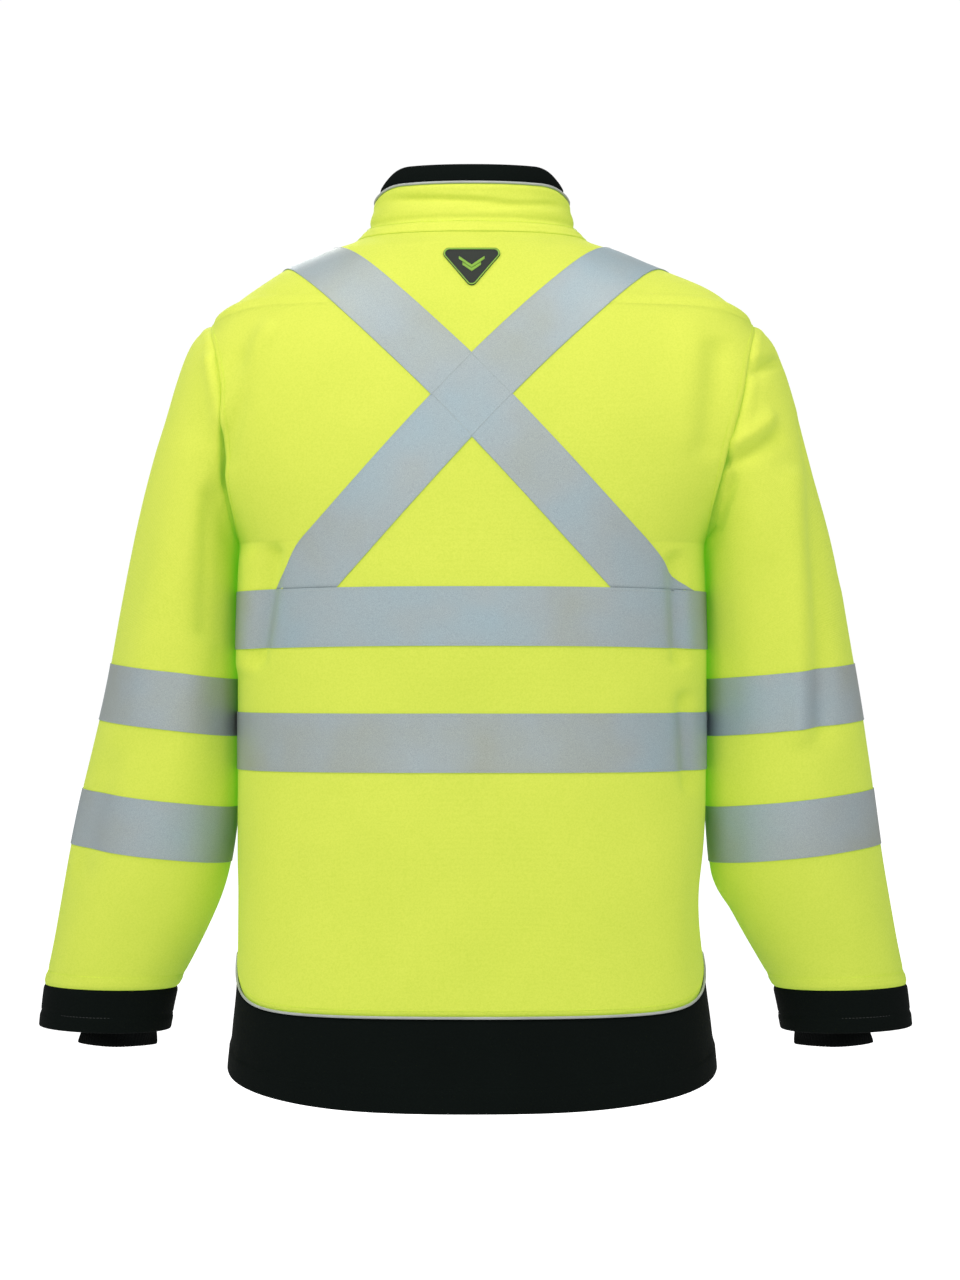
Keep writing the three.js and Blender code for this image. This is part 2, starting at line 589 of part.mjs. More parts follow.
/** One arm: sleeve above and below the elbow, tapes, outer cuff and knitted inner cuff. */
function addSleeve(side, arm) {
  const start = 0.32;
  const elbow = sleeveRingOf(-ELBOW_DROP + 8);
  const [upper, lower] = [elbowWedge(arm, true).keep, elbowWedge(arm, false).keep];
  const cut = 2;
  const above = sleeveTube(arm, start, elbow + cut, 7, -CLOTH, 0);
  const below = sleeveTube(arm, elbow - cut, SLEEVE_END, 7, -CLOTH, 0);
  add(`sleeve_${side}_upper`, geometryOf(solid(above).intersect(upper)), LIME);
  add(`sleeve_${side}_lower`, geometryOf(solid(below).intersect(lower)), LIME);
  SLEEVE_TAPES.forEach((top, k) => {
    const around = solid(sleeveTube(arm, elbow - cut, SLEEVE_END, 7, LIFT, LIFT + TAPE_THICK));
    const band = around.intersect(solid(slab(arm, -top, TAPE_WIDTH, SLEEVE_TAPE_TILT))).intersect(lower);
    add(`sleeve_tape_${side}_${k ? "lower" : "upper"}`, geometryOf(band), SILVER);
  });
  const cuffTop = SLEEVE_END + SEAM_GAP * 2;
  add(`cuff_${side}`, sleeveTube(arm, cuffTop, SLEEVE_END + CUFF_HEIGHT, 2, -CLOTH, 0), BLACK_CLOTH);
  const squeeze = [KNIT_HALF_WIDTH / (WRIST_WIDTH / 2), KNIT_HALF_DEPTH / WRIST_HALF_DEPTH];
  const knitFoot = SLEEVE_END + CUFF_HEIGHT + KNIT_OUT;
  const knitShape = { squeeze, shift: KNIT_SHIFT, columns: 14 };
  const knit = sleeveTube(arm, SLEEVE_END - KNIT_IN / 90, knitFoot, 4, -2.2, 0, knitShape);
  add(`knit_cuff_${side}`, knit, BLACK_KNIT);
}

// ---- Collar ---------------------------------------------------------------------------------------------------
const collarTop = (a) => {
  const s = Math.sin(a);
  return s >= 0
    ? COLLAR_SIDE + (COLLAR_BACK - COLLAR_SIDE) * smooth(1.45 * s)
    : COLLAR_SIDE + (COLLAR_FRONT - COLLAR_SIDE) * -s;
};
const collarLimeTop = (a) => {
  const s = Math.max(0, Math.sin(a));
  return collarTop(a) - COLLAR_ROLL * smooth(s * 1.25);
};

/** A point of the collar: angle a, height share f from the neck seam to the top edge, offset outwards. */
function collarPlace(a, f, top, offset, foot = 0) {
  const [s, c] = [Math.sin(a), Math.cos(a)];
  const seam = bodyPoint(NECK_RING, a);
  const start = seam[2] + foot;
  const z = start + (top - start) * f;
  const lean = COLLAR_IN * Math.min(1, Math.max(0, (z - seam[2]) / 60));
  const power = 2 / 2.2;
  const depth = s > 0 ? NECK_BACK - lean : frontDepth(z);
  const curve = (value) => Math.sign(value) * Math.abs(value) ** power;
  const p = [(NECK_HALF - lean) * curve(c), depth * curve(s)];
  const [nx, ny] = [curve(c) / (NECK_HALF - lean), curve(s) / depth];
  const n = Math.hypot(nx, ny);
  return [p[0] + (offset * nx) / n, p[1] + (offset * ny) / n, z];
}

/** The collar's layers: lime shell, black roll at the back, black fleece lining, piping, loop and label. */
function addCollar() {
  const columns = 20;
  const around = (i, gap = ZIP_SLOT) => {
    const edge = Math.asin((gap / NECK_HALF) ** 1.1);
    return -Math.PI / 2 + edge + ((TAU - 2 * edge) * i) / columns;
  };
  const facing = CHAIN_HALF + ZIP_TAPE + 2.5;
  const shell = (i, j, o) => collarPlace(around(i), j / 3, collarLimeTop(around(i)) - SEAM_GAP, o, SEAM_GAP + 0.6);
  add("collar_shell", skin(shell, columns, 3, -2.4, 0), LIME);
  const fleece = (i, j, o) => collarPlace(around(i, facing), j / 2, collarTop(around(i, facing)), o, -6);
  add("collar_lining", skin(fleece, columns, 2, -6.6, -4.3), BLACK_CLOTH);
  const rollStart = 0.16 * Math.PI;
  const roll = (i, j, o) => {
    const a = rollStart + ((Math.PI - 2 * rollStart) * i) / 16;
    const low = collarLimeTop(a) + SEAM_GAP;
    const seam = bodyPoint(NECK_RING, a)[2];
    return collarPlace(a, j / 2, collarTop(a), o, low - seam);
  };
  add("collar_roll", skin(roll, 16, 2, -2.4, 0), BLACK_CLOTH);
  const piping = (i, j, o) => {
    const a = around(i);
    const middle = collarLimeTop(a);
    const seam = bodyPoint(NECK_RING, a)[2];
    return collarPlace(a, j, middle + PIPING_RADIUS, o, middle - PIPING_RADIUS - seam);
  };
  add("collar_piping", skin(piping, columns, 1, 3 * LIFT, 3 * LIFT + 2 * PIPING_RADIUS), PIPING_GREY);

  const inside = NECK_BACK - COLLAR_IN - 6;
  const loop = solid(block([-LOOP.width / 2, inside - LOOP.thick - 5, -LOOP.rise - 4], [LOOP.width / 2, inside - 5, 6]));
  const eye = block([-LOOP.width / 2 + LOOP.strap, inside - 40, -LOOP.rise + 2], [LOOP.width / 2 - LOOP.strap, 200, 1]);
  add("hanger_loop", geometryOf(loop.subtract(solid(eye))), BLACK_CLOTH);
}

// ---- Zips -----------------------------------------------------------------------------------------------------
/** The front zip, in a frame whose Z runs up the front edge and whose -Y points away from the wearer. */
function addFrontZip() {
  const top = COLLAR_FRONT - ZIP_TOP;
  const zip = new THREE.Group();
  zip.position.set(0, -frontDepth(top), top);
  zip.rotation.x = -Math.atan(FRONT_LEAN);
  coat.add(zip);
  const hem = BODY_LENGTH + FRONT_DROP;
  const length = (hem + top - ZIP_FOOT) * Math.hypot(1, FRONT_LEAN);
  const back = CLOTH + 1.9; // the zip tape lies this far behind the face of the fronts
  const middle = back + ZIP_TAPE_THICK / 2;
  for (const [side, arm] of [["left", 1], ["right", -1]]) {
    const x = (a, b) => (arm > 0 ? [a, b] : [-b, -a]);
    const [t0, t1] = x(CHAIN_HALF + 0.3, CHAIN_HALF + ZIP_TAPE);
    add(`zip_tape_${side}`, block([t0, back, -length - 6], [t1, back + ZIP_TAPE_THICK, 2]), ZIP_BLACK, zip);
    const [c0, c1] = x(CHAIN_GAP, CHAIN_HALF);
    const chain = block([c0, middle - CHAIN_THICK / 2, -length + 10], [c1, middle + CHAIN_THICK / 2, -0.5]);
    add(`zip_chain_${side}`, chain, ZIP_BLACK, zip);
    const [s0, s1] = x(0.6, CHAIN_HALF + 0.9);
    const stop = block([s0, middle - CHAIN_THICK / 2 - 0.4, 0], [s1, back - 0.3, 5]);
    add(`zip_top_stop_${side}`, stop, GUNMETAL, zip);
  }
  const box = block([-5.2, back - 2.9, -length - 3], [5.2, back - 0.4, -length + 9.5]);
  add("zip_retainer_box", box, GUNMETAL, zip);

  // The slider's two plates and bridge wrap the chain with a running clearance, and leave the tapes free.
  const clear = 0.5;
  const { length: long, width, plate, slot } = SLIDER;
  const front = middle - CHAIN_THICK / 2 - clear - plate;
  const rear = middle + CHAIN_THICK / 2 + clear + plate;
  const w = width / 2;
  const body = solid(block([-w, front, -long], [w, rear, 0]));
  const channel = block([-CHAIN_HALF - clear, front + plate, -long - 5], [CHAIN_HALF + clear, rear - plate, 5]);
  const slots = block([-w - 5, back - slot, -long - 5], [w + 5, back + ZIP_TAPE_THICK + slot, 5]);
  const hang = front - 0.25 - EYE_HALF;
  const eye = solid(block([-1.6, hang - EYE_HALF - 0.9, -long * 0.72], [1.6, front + 0.2, -long * 0.28]));
  const hole = block([-5, hang - EYE_HALF, -long * 0.6], [5, hang + EYE_HALF, -long * 0.4]);
  const bridge = solid(block([-0.8, front + plate - 0.5, -4], [0.8, rear - plate + 0.5, -0.4]));
  let slider = body.subtract(solid(channel)).subtract(solid(slots));
  slider = slider.add(bridge).add(eye).subtract(solid(hole));
  add("zip_slider", geometryOf(slider), GUNMETAL, zip).position.z = -1;
  const tab = add("zip_pull", pullRing(PULL, hang), GUNMETAL, zip);
  tab.position.z = -1 - long * 0.5;
  return { zip, length };
}

/** A pull tab with an open eye, threaded through a slider's bail at depth y. */
function pullRing({ length, width, thick, gap }, y) {
  const w = width / 2;
  const bar = thick / 2;
  const frame = solid(block([-w, y - bar, -length], [w, y + bar, bar]));
  const window = block([-gap, y - 10, -length * 0.42], [gap, y + 10, -bar]);
  return geometryOf(frame.subtract(solid(window)));
}

/** The angle on the front at which ring t stands at distance x from the centre plane. */
function frontAngle(x, t) {
  const ring = half(t, -1);
  const turn = Math.acos((Math.abs(x) / ring.width) ** (ring.power / 2));
  return x > 0 ? TAU - turn : Math.PI + turn;
}

/** A pocket zip set into a slot in the front: strip, slider, pull and bag. Returns the slot. */
function addPocket(name, arm, spec, bag) {
  const at = (x, z) => ({ a: frontAngle(arm * x, ringOf(z)), t: ringOf(z) });
  const [upper, lower] = [at(spec.upper, -spec.top), at(spec.lower, -spec.top - spec.drop)];
  const p = new THREE.Vector3(...bodyPlace(upper.t, upper.a, 0));
  const q = new THREE.Vector3(...bodyPlace(lower.t, lower.a, 0));
  const out = new THREE.Vector3(...bodyPlace(upper.t, upper.a, 1)).sub(p);
  const up = p.clone().sub(q).normalize();
  out.addScaledVector(up, -out.dot(up)).normalize();
  const across = up.clone().cross(out).normalize();
  const group = new THREE.Group();
  group.matrixAutoUpdate = false;
  group.matrix.makeBasis(across.clone().negate(), out.clone().negate(), up).setPosition(p);
  if (group.matrix.determinant() < 0) {
    group.matrix.makeBasis(across, out.clone().negate(), up).setPosition(p);
  }
  coat.add(group);
  const length = p.distanceTo(q);
  const w = POCKET_STRIP / 2;
  add(`${name}_zip`, block([-w, -0.6, -length], [w, 1.2, 0]), ZIP_BLACK, group);
  const s = POCKET_SLIDER;
  const face = -0.6 - LIFT;
  const hang = face - s.height + 0.8 + EYE_HALF;
  const middle = -s.length * 0.49;
  const body = solid(block([-s.width / 2, face - s.height, -s.length], [s.width / 2, face, 0]));
  const hole = block([-9, hang - EYE_HALF, middle - 1.35], [9, hang + EYE_HALF, middle + 1.35]);
  let slider = body.subtract(solid(hole));
  for (const [low, high] of [[-9, -1.5], [1.5, 9]]) {
    const cheek = block([low, face - s.height - 1, -s.length - 1], [high, face - s.plate, 1]);
    slider = slider.subtract(solid(cheek));
  }
  add(`${name}_slider`, geometryOf(slider), GUNMETAL, group).position.z = -2;
  add(`${name}_pull`, pullRing(POCKET_PULL, hang), GUNMETAL, group).position.z = -2 + middle;
  const margin = 0.5;
  const slot = block([-w - margin, -8, -length - margin], [w + margin, 30, margin]);
  group.updateMatrix = () => {};
  const ends = [frontAngle(arm * bag.inner, lower.t), frontAngle(arm * bag.outer, lower.t)];
  const deep = -CLOTH - (LINING_EASE - bag.thick) / 2;
  const foot = () => -spec.top - bag.below;
  const head = () => -spec.top + bag.above;
  add(`${name}_bag`, bodyBand(ends, 6, 4, foot, head, deep - bag.thick, deep), BLACK_CLOTH);
  return solid(slot.applyMatrix4(group.matrix));
}

// ---- Facing, badge and label ----------------------------------------------------------------------------------
/** The storm flap behind the front zip. */
function addStormFlap(zip, length) {
  const depth = CLOTH + 1.9 + ZIP_TAPE_THICK + CHAIN_THICK / 2 + SLIDER.plate + 2.2;
  const flap = block([-FLAP_WIDTH / 2, depth, -length - 4], [FLAP_WIDTH / 2, depth + FLAP_THICK, -72]);
  add("storm_flap", flap, BLACK_CLOTH, zip);
}

/** The plain patch below the collar at the back. */
function addBadge() {
  const [w, h, r] = [BADGE.width / 2, BADGE.height, 5];
  const shape = new THREE.Shape();
  shape.moveTo(-w + r, -BADGE.top);
  shape.lineTo(w - r, -BADGE.top);
  shape.lineTo(w, -BADGE.top - r);
  shape.lineTo(r, -BADGE.top - h);
  shape.lineTo(-r, -BADGE.top - h);
  shape.lineTo(-w, -BADGE.top - r);
  shape.closePath();
  const prism = new THREE.ExtrudeGeometry(shape, { depth: 400, bevelEnabled: false });
  const cutter = solid(prism.rotateX(Math.PI / 2).translate(0, 400, 0));
  const patch = onPanel("back", LIFT, LIFT + BADGE.thick).intersect(cutter);
  add("badge", geometryOf(patch), BADGE_BLACK);
}

/** The blank size label inside the back of the neck, on the face of the lining. */
function addLabel() {
  const top = -SHOULDER_DROP * 0.45;
  const outline = [
    [-LABEL.width / 2, top],
    [LABEL.width / 2, top],
    [LABEL.width / 2, top - LABEL.height],
    [-LABEL.width / 2, top - LABEL.height],
  ];
  const depth = -CLOTH - LINING_EASE - LINING - LIFT;
  const made = onPanel("back", depth - LABEL.thick, depth).intersect(frontal(outline));
  add("neck_label", geometryOf(made), LABEL_GREY);
}

const slots = { left: [], right: [] };
for (const [side, arm] of [["left", 1], ["right", -1]]) {
  slots[side].push(addPocket(`pocket_${side}`, arm, HAND_ZIP, HAND_BAG));
}
addPanels(slots);
addHem();
addLining();
addBodyTapes();
for (const [side, arm] of [["left", 1], ["right", -1]]) addSleeve(side, arm);
addCollar();
const { zip, length } = addFrontZip();
addStormFlap(zip, length);
addBadge();
addLabel();

export default coat;
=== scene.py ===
"""A high-visibility work coat: lime softshell, black hem, cuffs and collar facing, crossed silver tape.

Lengths in the classes are millimetres. Meshes are made in metres in the part's own frame: +Z up, the coat's
front towards -Y, the wearer's left towards +X.
"""
import logging
import math
from dataclasses import dataclass, field
from enum import Enum

import bpy
import numpy as np
from mathutils import Matrix, Vector


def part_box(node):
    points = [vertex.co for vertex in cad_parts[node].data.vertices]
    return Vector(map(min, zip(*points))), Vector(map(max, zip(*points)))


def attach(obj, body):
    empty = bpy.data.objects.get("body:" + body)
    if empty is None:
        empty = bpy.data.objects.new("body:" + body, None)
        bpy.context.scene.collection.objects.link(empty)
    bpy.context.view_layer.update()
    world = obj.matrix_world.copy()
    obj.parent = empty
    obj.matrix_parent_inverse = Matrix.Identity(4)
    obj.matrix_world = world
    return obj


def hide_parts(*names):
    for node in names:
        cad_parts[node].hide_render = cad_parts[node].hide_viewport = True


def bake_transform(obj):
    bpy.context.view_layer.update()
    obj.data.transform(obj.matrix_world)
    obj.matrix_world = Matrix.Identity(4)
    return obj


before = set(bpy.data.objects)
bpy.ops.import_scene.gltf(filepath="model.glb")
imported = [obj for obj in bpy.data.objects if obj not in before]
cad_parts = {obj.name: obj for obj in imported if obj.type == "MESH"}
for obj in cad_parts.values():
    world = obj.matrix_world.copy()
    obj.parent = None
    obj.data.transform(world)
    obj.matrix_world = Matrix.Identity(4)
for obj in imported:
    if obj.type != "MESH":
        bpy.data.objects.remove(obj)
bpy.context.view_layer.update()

log = logging.getLogger("coat")
MM = 0.001
TAU = 2 * math.pi
Array = np.ndarray
Piece = bpy.types.Object
Material = bpy.types.Material
Socket = bpy.types.NodeSocket
Triple = tuple[float, float, float]


class Side(Enum):
    """The wearer's left or right, as the sign of X."""

    LEFT = 1
    RIGHT = -1

    @property
    def word(self) -> str:
        """The side's name as it stands in the names of pieces."""
        return self.name.lower()


class Panel(Enum):
    """The three cut panels that go round the body."""

    BACK = "back"
    LEFT = "left"
    RIGHT = "right"


# ---- Small numeric helpers -----------------------------------------------------------------------
def smooth(f: Array) -> Array:
    """Smoothstep of a value clipped to 0..1."""
    c = np.clip(f, 0.0, 1.0)
    return c * c * (3 - 2 * c)


def read_along(table: Array, t: Array) -> Array:
    """Reads equal-length rows at any place between them on a smooth curve.

    Args:
        table: rows of numbers.
        t: row numbers, in an array of any shape.

    Returns:
        The rows' values at t, with one more axis than t.
    """
    t = np.asarray(t, float)
    k = np.clip(np.floor(t).astype(int), 0, len(table) - 2)
    f = (t - k)[..., None]
    row = lambda i: table[np.clip(i, 0, len(table) - 1)]
    p, q, r, s = row(k - 1), row(k), row(k + 1), row(k + 2)
    into, out, rest = (r - p) / 2, (s - q) / 2, r - q
    return q + f * (into + f * (3 * rest - 2 * into - out + f * (into + out - 2 * rest)))


def unit(v: Array) -> Array:
    """Vectors along the last axis, made one long."""
    return v / np.maximum(np.linalg.norm(v, axis=-1, keepdims=True), 1e-9)


def run_lengths(points: Array, axis: int) -> Array:
    """Running length of a grid of points along one axis, from 0."""
    steps = np.linalg.norm(np.diff(points, axis=axis), axis=-1)
    start = np.zeros_like(np.take(steps, [0], axis=axis))
    return np.concatenate([start, np.cumsum(steps, axis=axis)], axis=axis)


def marks(length: Array, count: int, edge: tuple[float, ...] = (0.0, 0.9, 1.9, 3.2, 5.2)) -> Array:
    """Places along a length, close together near both ends.

    Args:
        length: the length, or an array of lengths.
        count: how many even places lie between the two edge groups.
        edge: the distances of the close places from each end.

    Returns:
        Distances from the start, with the places on the last axis.
    """
    length = np.asarray(length, float)[..., None]
    near = np.array(edge)
    middle = near[-1] + (length - 2 * near[-1]) * (np.arange(1, count) / count)
    first = np.broadcast_to(near, length.shape[:-1] + near.shape)
    return np.concatenate([first, middle, length - near[::-1]], axis=-1)


def grid_normals(points: Array, wrap: bool = False) -> Array:
    """Unit normals of a grid of points, by central differences."""
    if wrap:
        across = np.roll(points, -1, axis=1) - np.roll(points, 1, axis=1)
    else:
        across = np.gradient(points, axis=1)
    return unit(np.cross(across, np.gradient(points, axis=0)))


# ---- Cloth meshes --------------------------------------------------------------------------------
def mesh_object(name: str, points: Array, faces: list, uvs: Array | None, material: Material) -> Piece:
    """Makes a smooth-shaded mesh object from points in metres.

    Args:
        name: the object's name.
        points: corner positions.
        faces: lists of corner numbers.
        uvs: one UV pair for each corner of each face in turn, or None.
        material: the finish.

    Returns:
        The new object, linked to the scene.
    """
    mesh = bpy.data.meshes.new(name)
    mesh.from_pydata(points.tolist(), [], faces)
    if uvs is not None:
        layer = mesh.uv_layers.new(name="UVMap")
        layer.data.foreach_set("uv", np.asarray(uvs, np.float32).ravel())
    mesh.materials.append(material)
    mesh.polygons.foreach_set("use_smooth", np.ones(len(mesh.polygons), bool))
    made = bpy.data.objects.new(name, mesh)
    bpy.context.scene.collection.objects.link(made)
    return made


def cloth(name: str, outer: Array, thickness: float, material: Material, wrap: bool = False, rim: int = 3,
        normals: Array | None = None, flip: bool = False) -> Piece:
    """Makes a sheet of cloth with rounded edges from the grid of its outer face.

    Args:
        name: the piece's name.
        outer: rows by columns of points in millimetres.
        thickness: the cloth's thickness in millimetres, towards the inside.
        material: the finish.
        wrap: whether the last column meets the first, as in a tube.
        rim: how many steps round each edge.
        normals: the outer face's normals, if they are known.
        flip: turns the faces round, for a grid whose columns run the other way.

    Returns:
        The closed sheet, with UVs in metres.
    """
    rows, cols = outer.shape[:2]
    n = grid_normals(outer, wrap) if normals is None else normals
    if flip and normals is None:
        n = -n
    inner = outer - n * thickness
    closed = np.concatenate([outer, outer[:, :1]], axis=1) if wrap else outer
    u, v = run_lengths(closed, 1), run_lengths(closed, 0)
    u = u[rows // 2][None, :].repeat(rows, 0)
    v = v[:, cols // 2][:, None].repeat(closed.shape[1], 1)
    number = np.arange(rows * cols).reshape(rows, cols)
    if wrap:
        number = np.concatenate([number, number[:, :1]], axis=1)
    a, b, c, d = number[:-1, :-1], number[:-1, 1:], number[1:, 1:], number[1:, :-1]
    quads = np.stack([a, b, c, d], -1).reshape(-1, 4)
    uv = np.stack([u, v], -1)
    corner = np.stack([uv[:-1, :-1], uv[:-1, 1:], uv[1:, 1:], uv[1:, :-1]], 2).reshape(-1, 4, 2)
    back = quads[:, ::-1] + rows * cols
    points = [outer.reshape(-1, 3), inner.reshape(-1, 3)]
    faces, face_uv = [quads, back], [corner, corner[:, ::-1]]
    count = 2 * rows * cols
    if wrap:
        loops = [(number[0, :-1], number[1, :-1], False), (number[-1, :-1], number[-2, :-1], True)]
    else:
        ring = np.concatenate([number[0, :-1], number[:-1, -1], number[-1, :0:-1], number[:0:-1, 0]])
        inside = number[1:-1, 1:-1]
        near = np.concatenate([
            np.clip(np.arange(cols - 1), 1, cols - 2) + cols,
            np.clip(np.arange(rows - 1), 1, rows - 2) * cols + cols - 2,
            np.clip(np.arange(cols - 1, 0, -1), 1, cols - 2) + (rows - 2) * cols,
            np.clip(np.arange(rows - 1, 0, -1), 1, rows - 2) * cols + 1,
        ])
        loops = [(ring, near, False)] if inside.size else []
    flat_outer, flat_n = outer.reshape(-1, 3), n.reshape(-1, 3)
    surface = sum(len(f) for f in faces)
    for ring, near, turned in loops:
        out = flat_outer[ring] - flat_outer[near]
        out = unit(out - (out * flat_n[ring]).sum(-1, keepdims=True) * flat_n[ring])
        middle = flat_outer[ring] - flat_n[ring] * thickness / 2
        layers = [ring]
        for k in range(1, rim + 1):
            turn = math.pi * k / (rim + 1)
            points.append(middle + thickness / 2 * (flat_n[ring] * math.cos(turn) + out * math.sin(turn)))
            layers.append(np.arange(count, count + len(ring)))
            count += len(ring)
        layers.append(ring + rows * cols)
        flat_uv = uv[:, :cols].reshape(-1, 2)[ring]
        for low, high in zip(layers[:-1], layers[1:]):
            quad = np.stack([low, high, np.roll(high, -1), np.roll(low, -1)], -1)
            quv = np.stack([flat_uv, flat_uv, np.roll(flat_uv, -1, 0), np.roll(flat_uv, -1, 0)], 1)
            if turned:
                quad, quv = quad[:, ::-1], quv[:, ::-1]
            faces.append(quad)
            face_uv.append(quv)
    all_faces = np.concatenate(faces)
    all_uv = np.concatenate(face_uv)
    if flip:
        all_faces, all_uv = all_faces[:, ::-1], all_uv[:, ::-1]
    made = mesh_object(name, np.concatenate(points) * MM, all_faces.tolist(), all_uv.reshape(-1, 2) * MM,
        material)
    if not rim:
        made.data.polygons.foreach_set("use_smooth", np.arange(len(all_faces)) < surface)
    return made


def tube(name: str, path: Array, radius: float, material: Material, sides: int = 10) -> Piece:
    """Makes a round tube with domed ends along a path in millimetres."""
    along = unit(np.gradient(path, axis=0))
    up = unit(np.cross(along, np.array([0.13, 0.21, 1.0])))
    side = unit(np.cross(along, up))
    turn = np.arange(sides) * TAU / sides
    ring = up[:, None] * np.cos(turn)[:, None] + side[:, None] * np.sin(turn)[:, None]
    rows = [path[:1, None] - along[:1, None] * radius + ring[:1] * radius * 0.1,
        path[:1, None] - along[:1, None] * radius * 0.6 + ring[:1] * radius * 0.8,
        path[:, None] + ring * radius,
        path[-1:, None] + along[-1:, None] * radius * 0.6 + ring[-1:] * radius * 0.8,
        path[-1:, None] + along[-1:, None] * radius + ring[-1:] * radius * 0.1]
    points = np.concatenate(rows)
    n = len(points)
    number = np.arange(n * sides).reshape(n, sides)
    a, b = number[:-1], np.roll(number, -1, 1)[:-1]
    c, d = np.roll(number, -1, 1)[1:], number[1:]
    faces = np.stack([a, d, c, b], -1).reshape(-1, 4).tolist()
    faces += [number[0].tolist(), number[-1][::-1].tolist()]
    made = mesh_object(name, points.reshape(-1, 3) * MM, faces, None, material)
    faces_outward(made)
    return made


def faces_outward(made: Piece) -> None:
    """Recalculates a closed mesh's normals so that they point outwards."""
    bpy.ops.object.select_all(action="DESELECT")
    bpy.context.view_layer.objects.active = made
    made.select_set(True)
    bpy.ops.object.mode_set(mode="EDIT")
    bpy.ops.mesh.select_all(action="SELECT")
    bpy.ops.mesh.normals_make_consistent(inside=False)
    bpy.ops.object.mode_set(mode="OBJECT")
    made.select_set(False)


# ---- Finishes ------------------------------------------------------------------------------------
class NodeSheet:
    """A material's node tree with short calls for the nodes that the finishes use."""

    def __init__(self, name: str) -> None:
        """Starts an empty material with a Principled shader."""
        self.material = bpy.data.materials.new(name)
        self.material.use_nodes = True
        self.tree = self.material.node_tree
        self.tree.nodes.clear()
        self.shader = self.add("ShaderNodeBsdfPrincipled")
        out = self.add("ShaderNodeOutputMaterial")
        self.tree.links.new(self.shader.outputs[0], out.inputs[0])

    def add(self, kind: str, **settings: object) -> bpy.types.Node:
        """Adds a node and sets its properties."""
        node = self.tree.nodes.new(kind)
        for key, value in settings.items():
            setattr(node, key, value)
        return node

    def join(self, node: bpy.types.Node, socket: str | int, value: object) -> None:
        """Links an output to a node's input, or sets the input's value."""
        if isinstance(value, Socket):
            self.tree.links.new(value, node.inputs[socket])
        else:
            node.inputs[socket].default_value = value

    def math(self, action: str, a: object, b: object = 0.0) -> Socket:
        """A Math node's result."""
        node = self.add("ShaderNodeMath", operation=action)
        self.join(node, 0, a)
        self.join(node, 1, b)
        return node.outputs[0]

    def place(self, uv: bool) -> Socket:
        """The UV map's or the object's own coordinates."""
        return self.add("ShaderNodeTexCoord").outputs["UV" if uv else "Object"]

    def noise(self, place: object, scale: float, detail: float = 2.0, rough: float = 0.5) -> Socket:
        """A noise texture's value."""
        node = self.add("ShaderNodeTexNoise")
        self.join(node, "Vector", place)
        for key, value in (("Scale", scale), ("Detail", detail), ("Roughness", rough)):
            self.join(node, key, value)
        return node.outputs[0]

    def ramp(self, value: object, stops: list[tuple[float, tuple[float, ...]]]) -> Socket:
        """A colour ramp with the stops (position, colour)."""
        node = self.add("ShaderNodeValToRGB")
        self.join(node, 0, value)
        marks_ = node.color_ramp.elements
        while len(marks_) < len(stops):
            marks_.new(0.5)
        for mark, (position, colour) in zip(marks_, stops):
            mark.position = position
            mark.color = (*colour[:3], 1.0)
        return node.outputs[0]

    def mix(self, factor: object, a: object, b: object, blend: str = "MIX") -> Socket:
        """A mix of two colours."""
        node = self.add("ShaderNodeMix", data_type="RGBA", blend_type=blend)
        self.join(node, "Factor", factor)
        for socket, value in ((6, a), (7, b)):
            self.join(node, socket, (*value, 1.0) if isinstance(value, tuple) else value)
        return node.outputs[2]

    def bump(self, height: object, distance: float, strength: float = 1.0, under: object = None) -> Socket:
        """A bump node's normal."""
        node = self.add("ShaderNodeBump")
        self.join(node, "Height", height)
        self.join(node, "Distance", distance)
        self.join(node, "Strength", strength)
        if under is not None:
            self.join(node, "Normal", under)
        return node.outputs[0]

    def finish(self, **sockets: object) -> Material:
        """Sets the Principled shader's sockets (underscores stand for spaces) and returns the material."""
        for key, value in sockets.items():
            value = (*value, 1.0) if isinstance(value, tuple) and len(value) == 3 else value
            self.join(self.shader, key.replace("_", " "), value)
        return self.material


def linear(red: int, green: int, blue: int) -> Triple:
    """An 8-bit display colour as linear light."""
    shares = (red / 255, green / 255, blue / 255)
    return tuple(c / 12.92 if c <= 0.04045 else ((c + 0.055) / 1.055) ** 2.4 for c in shares)


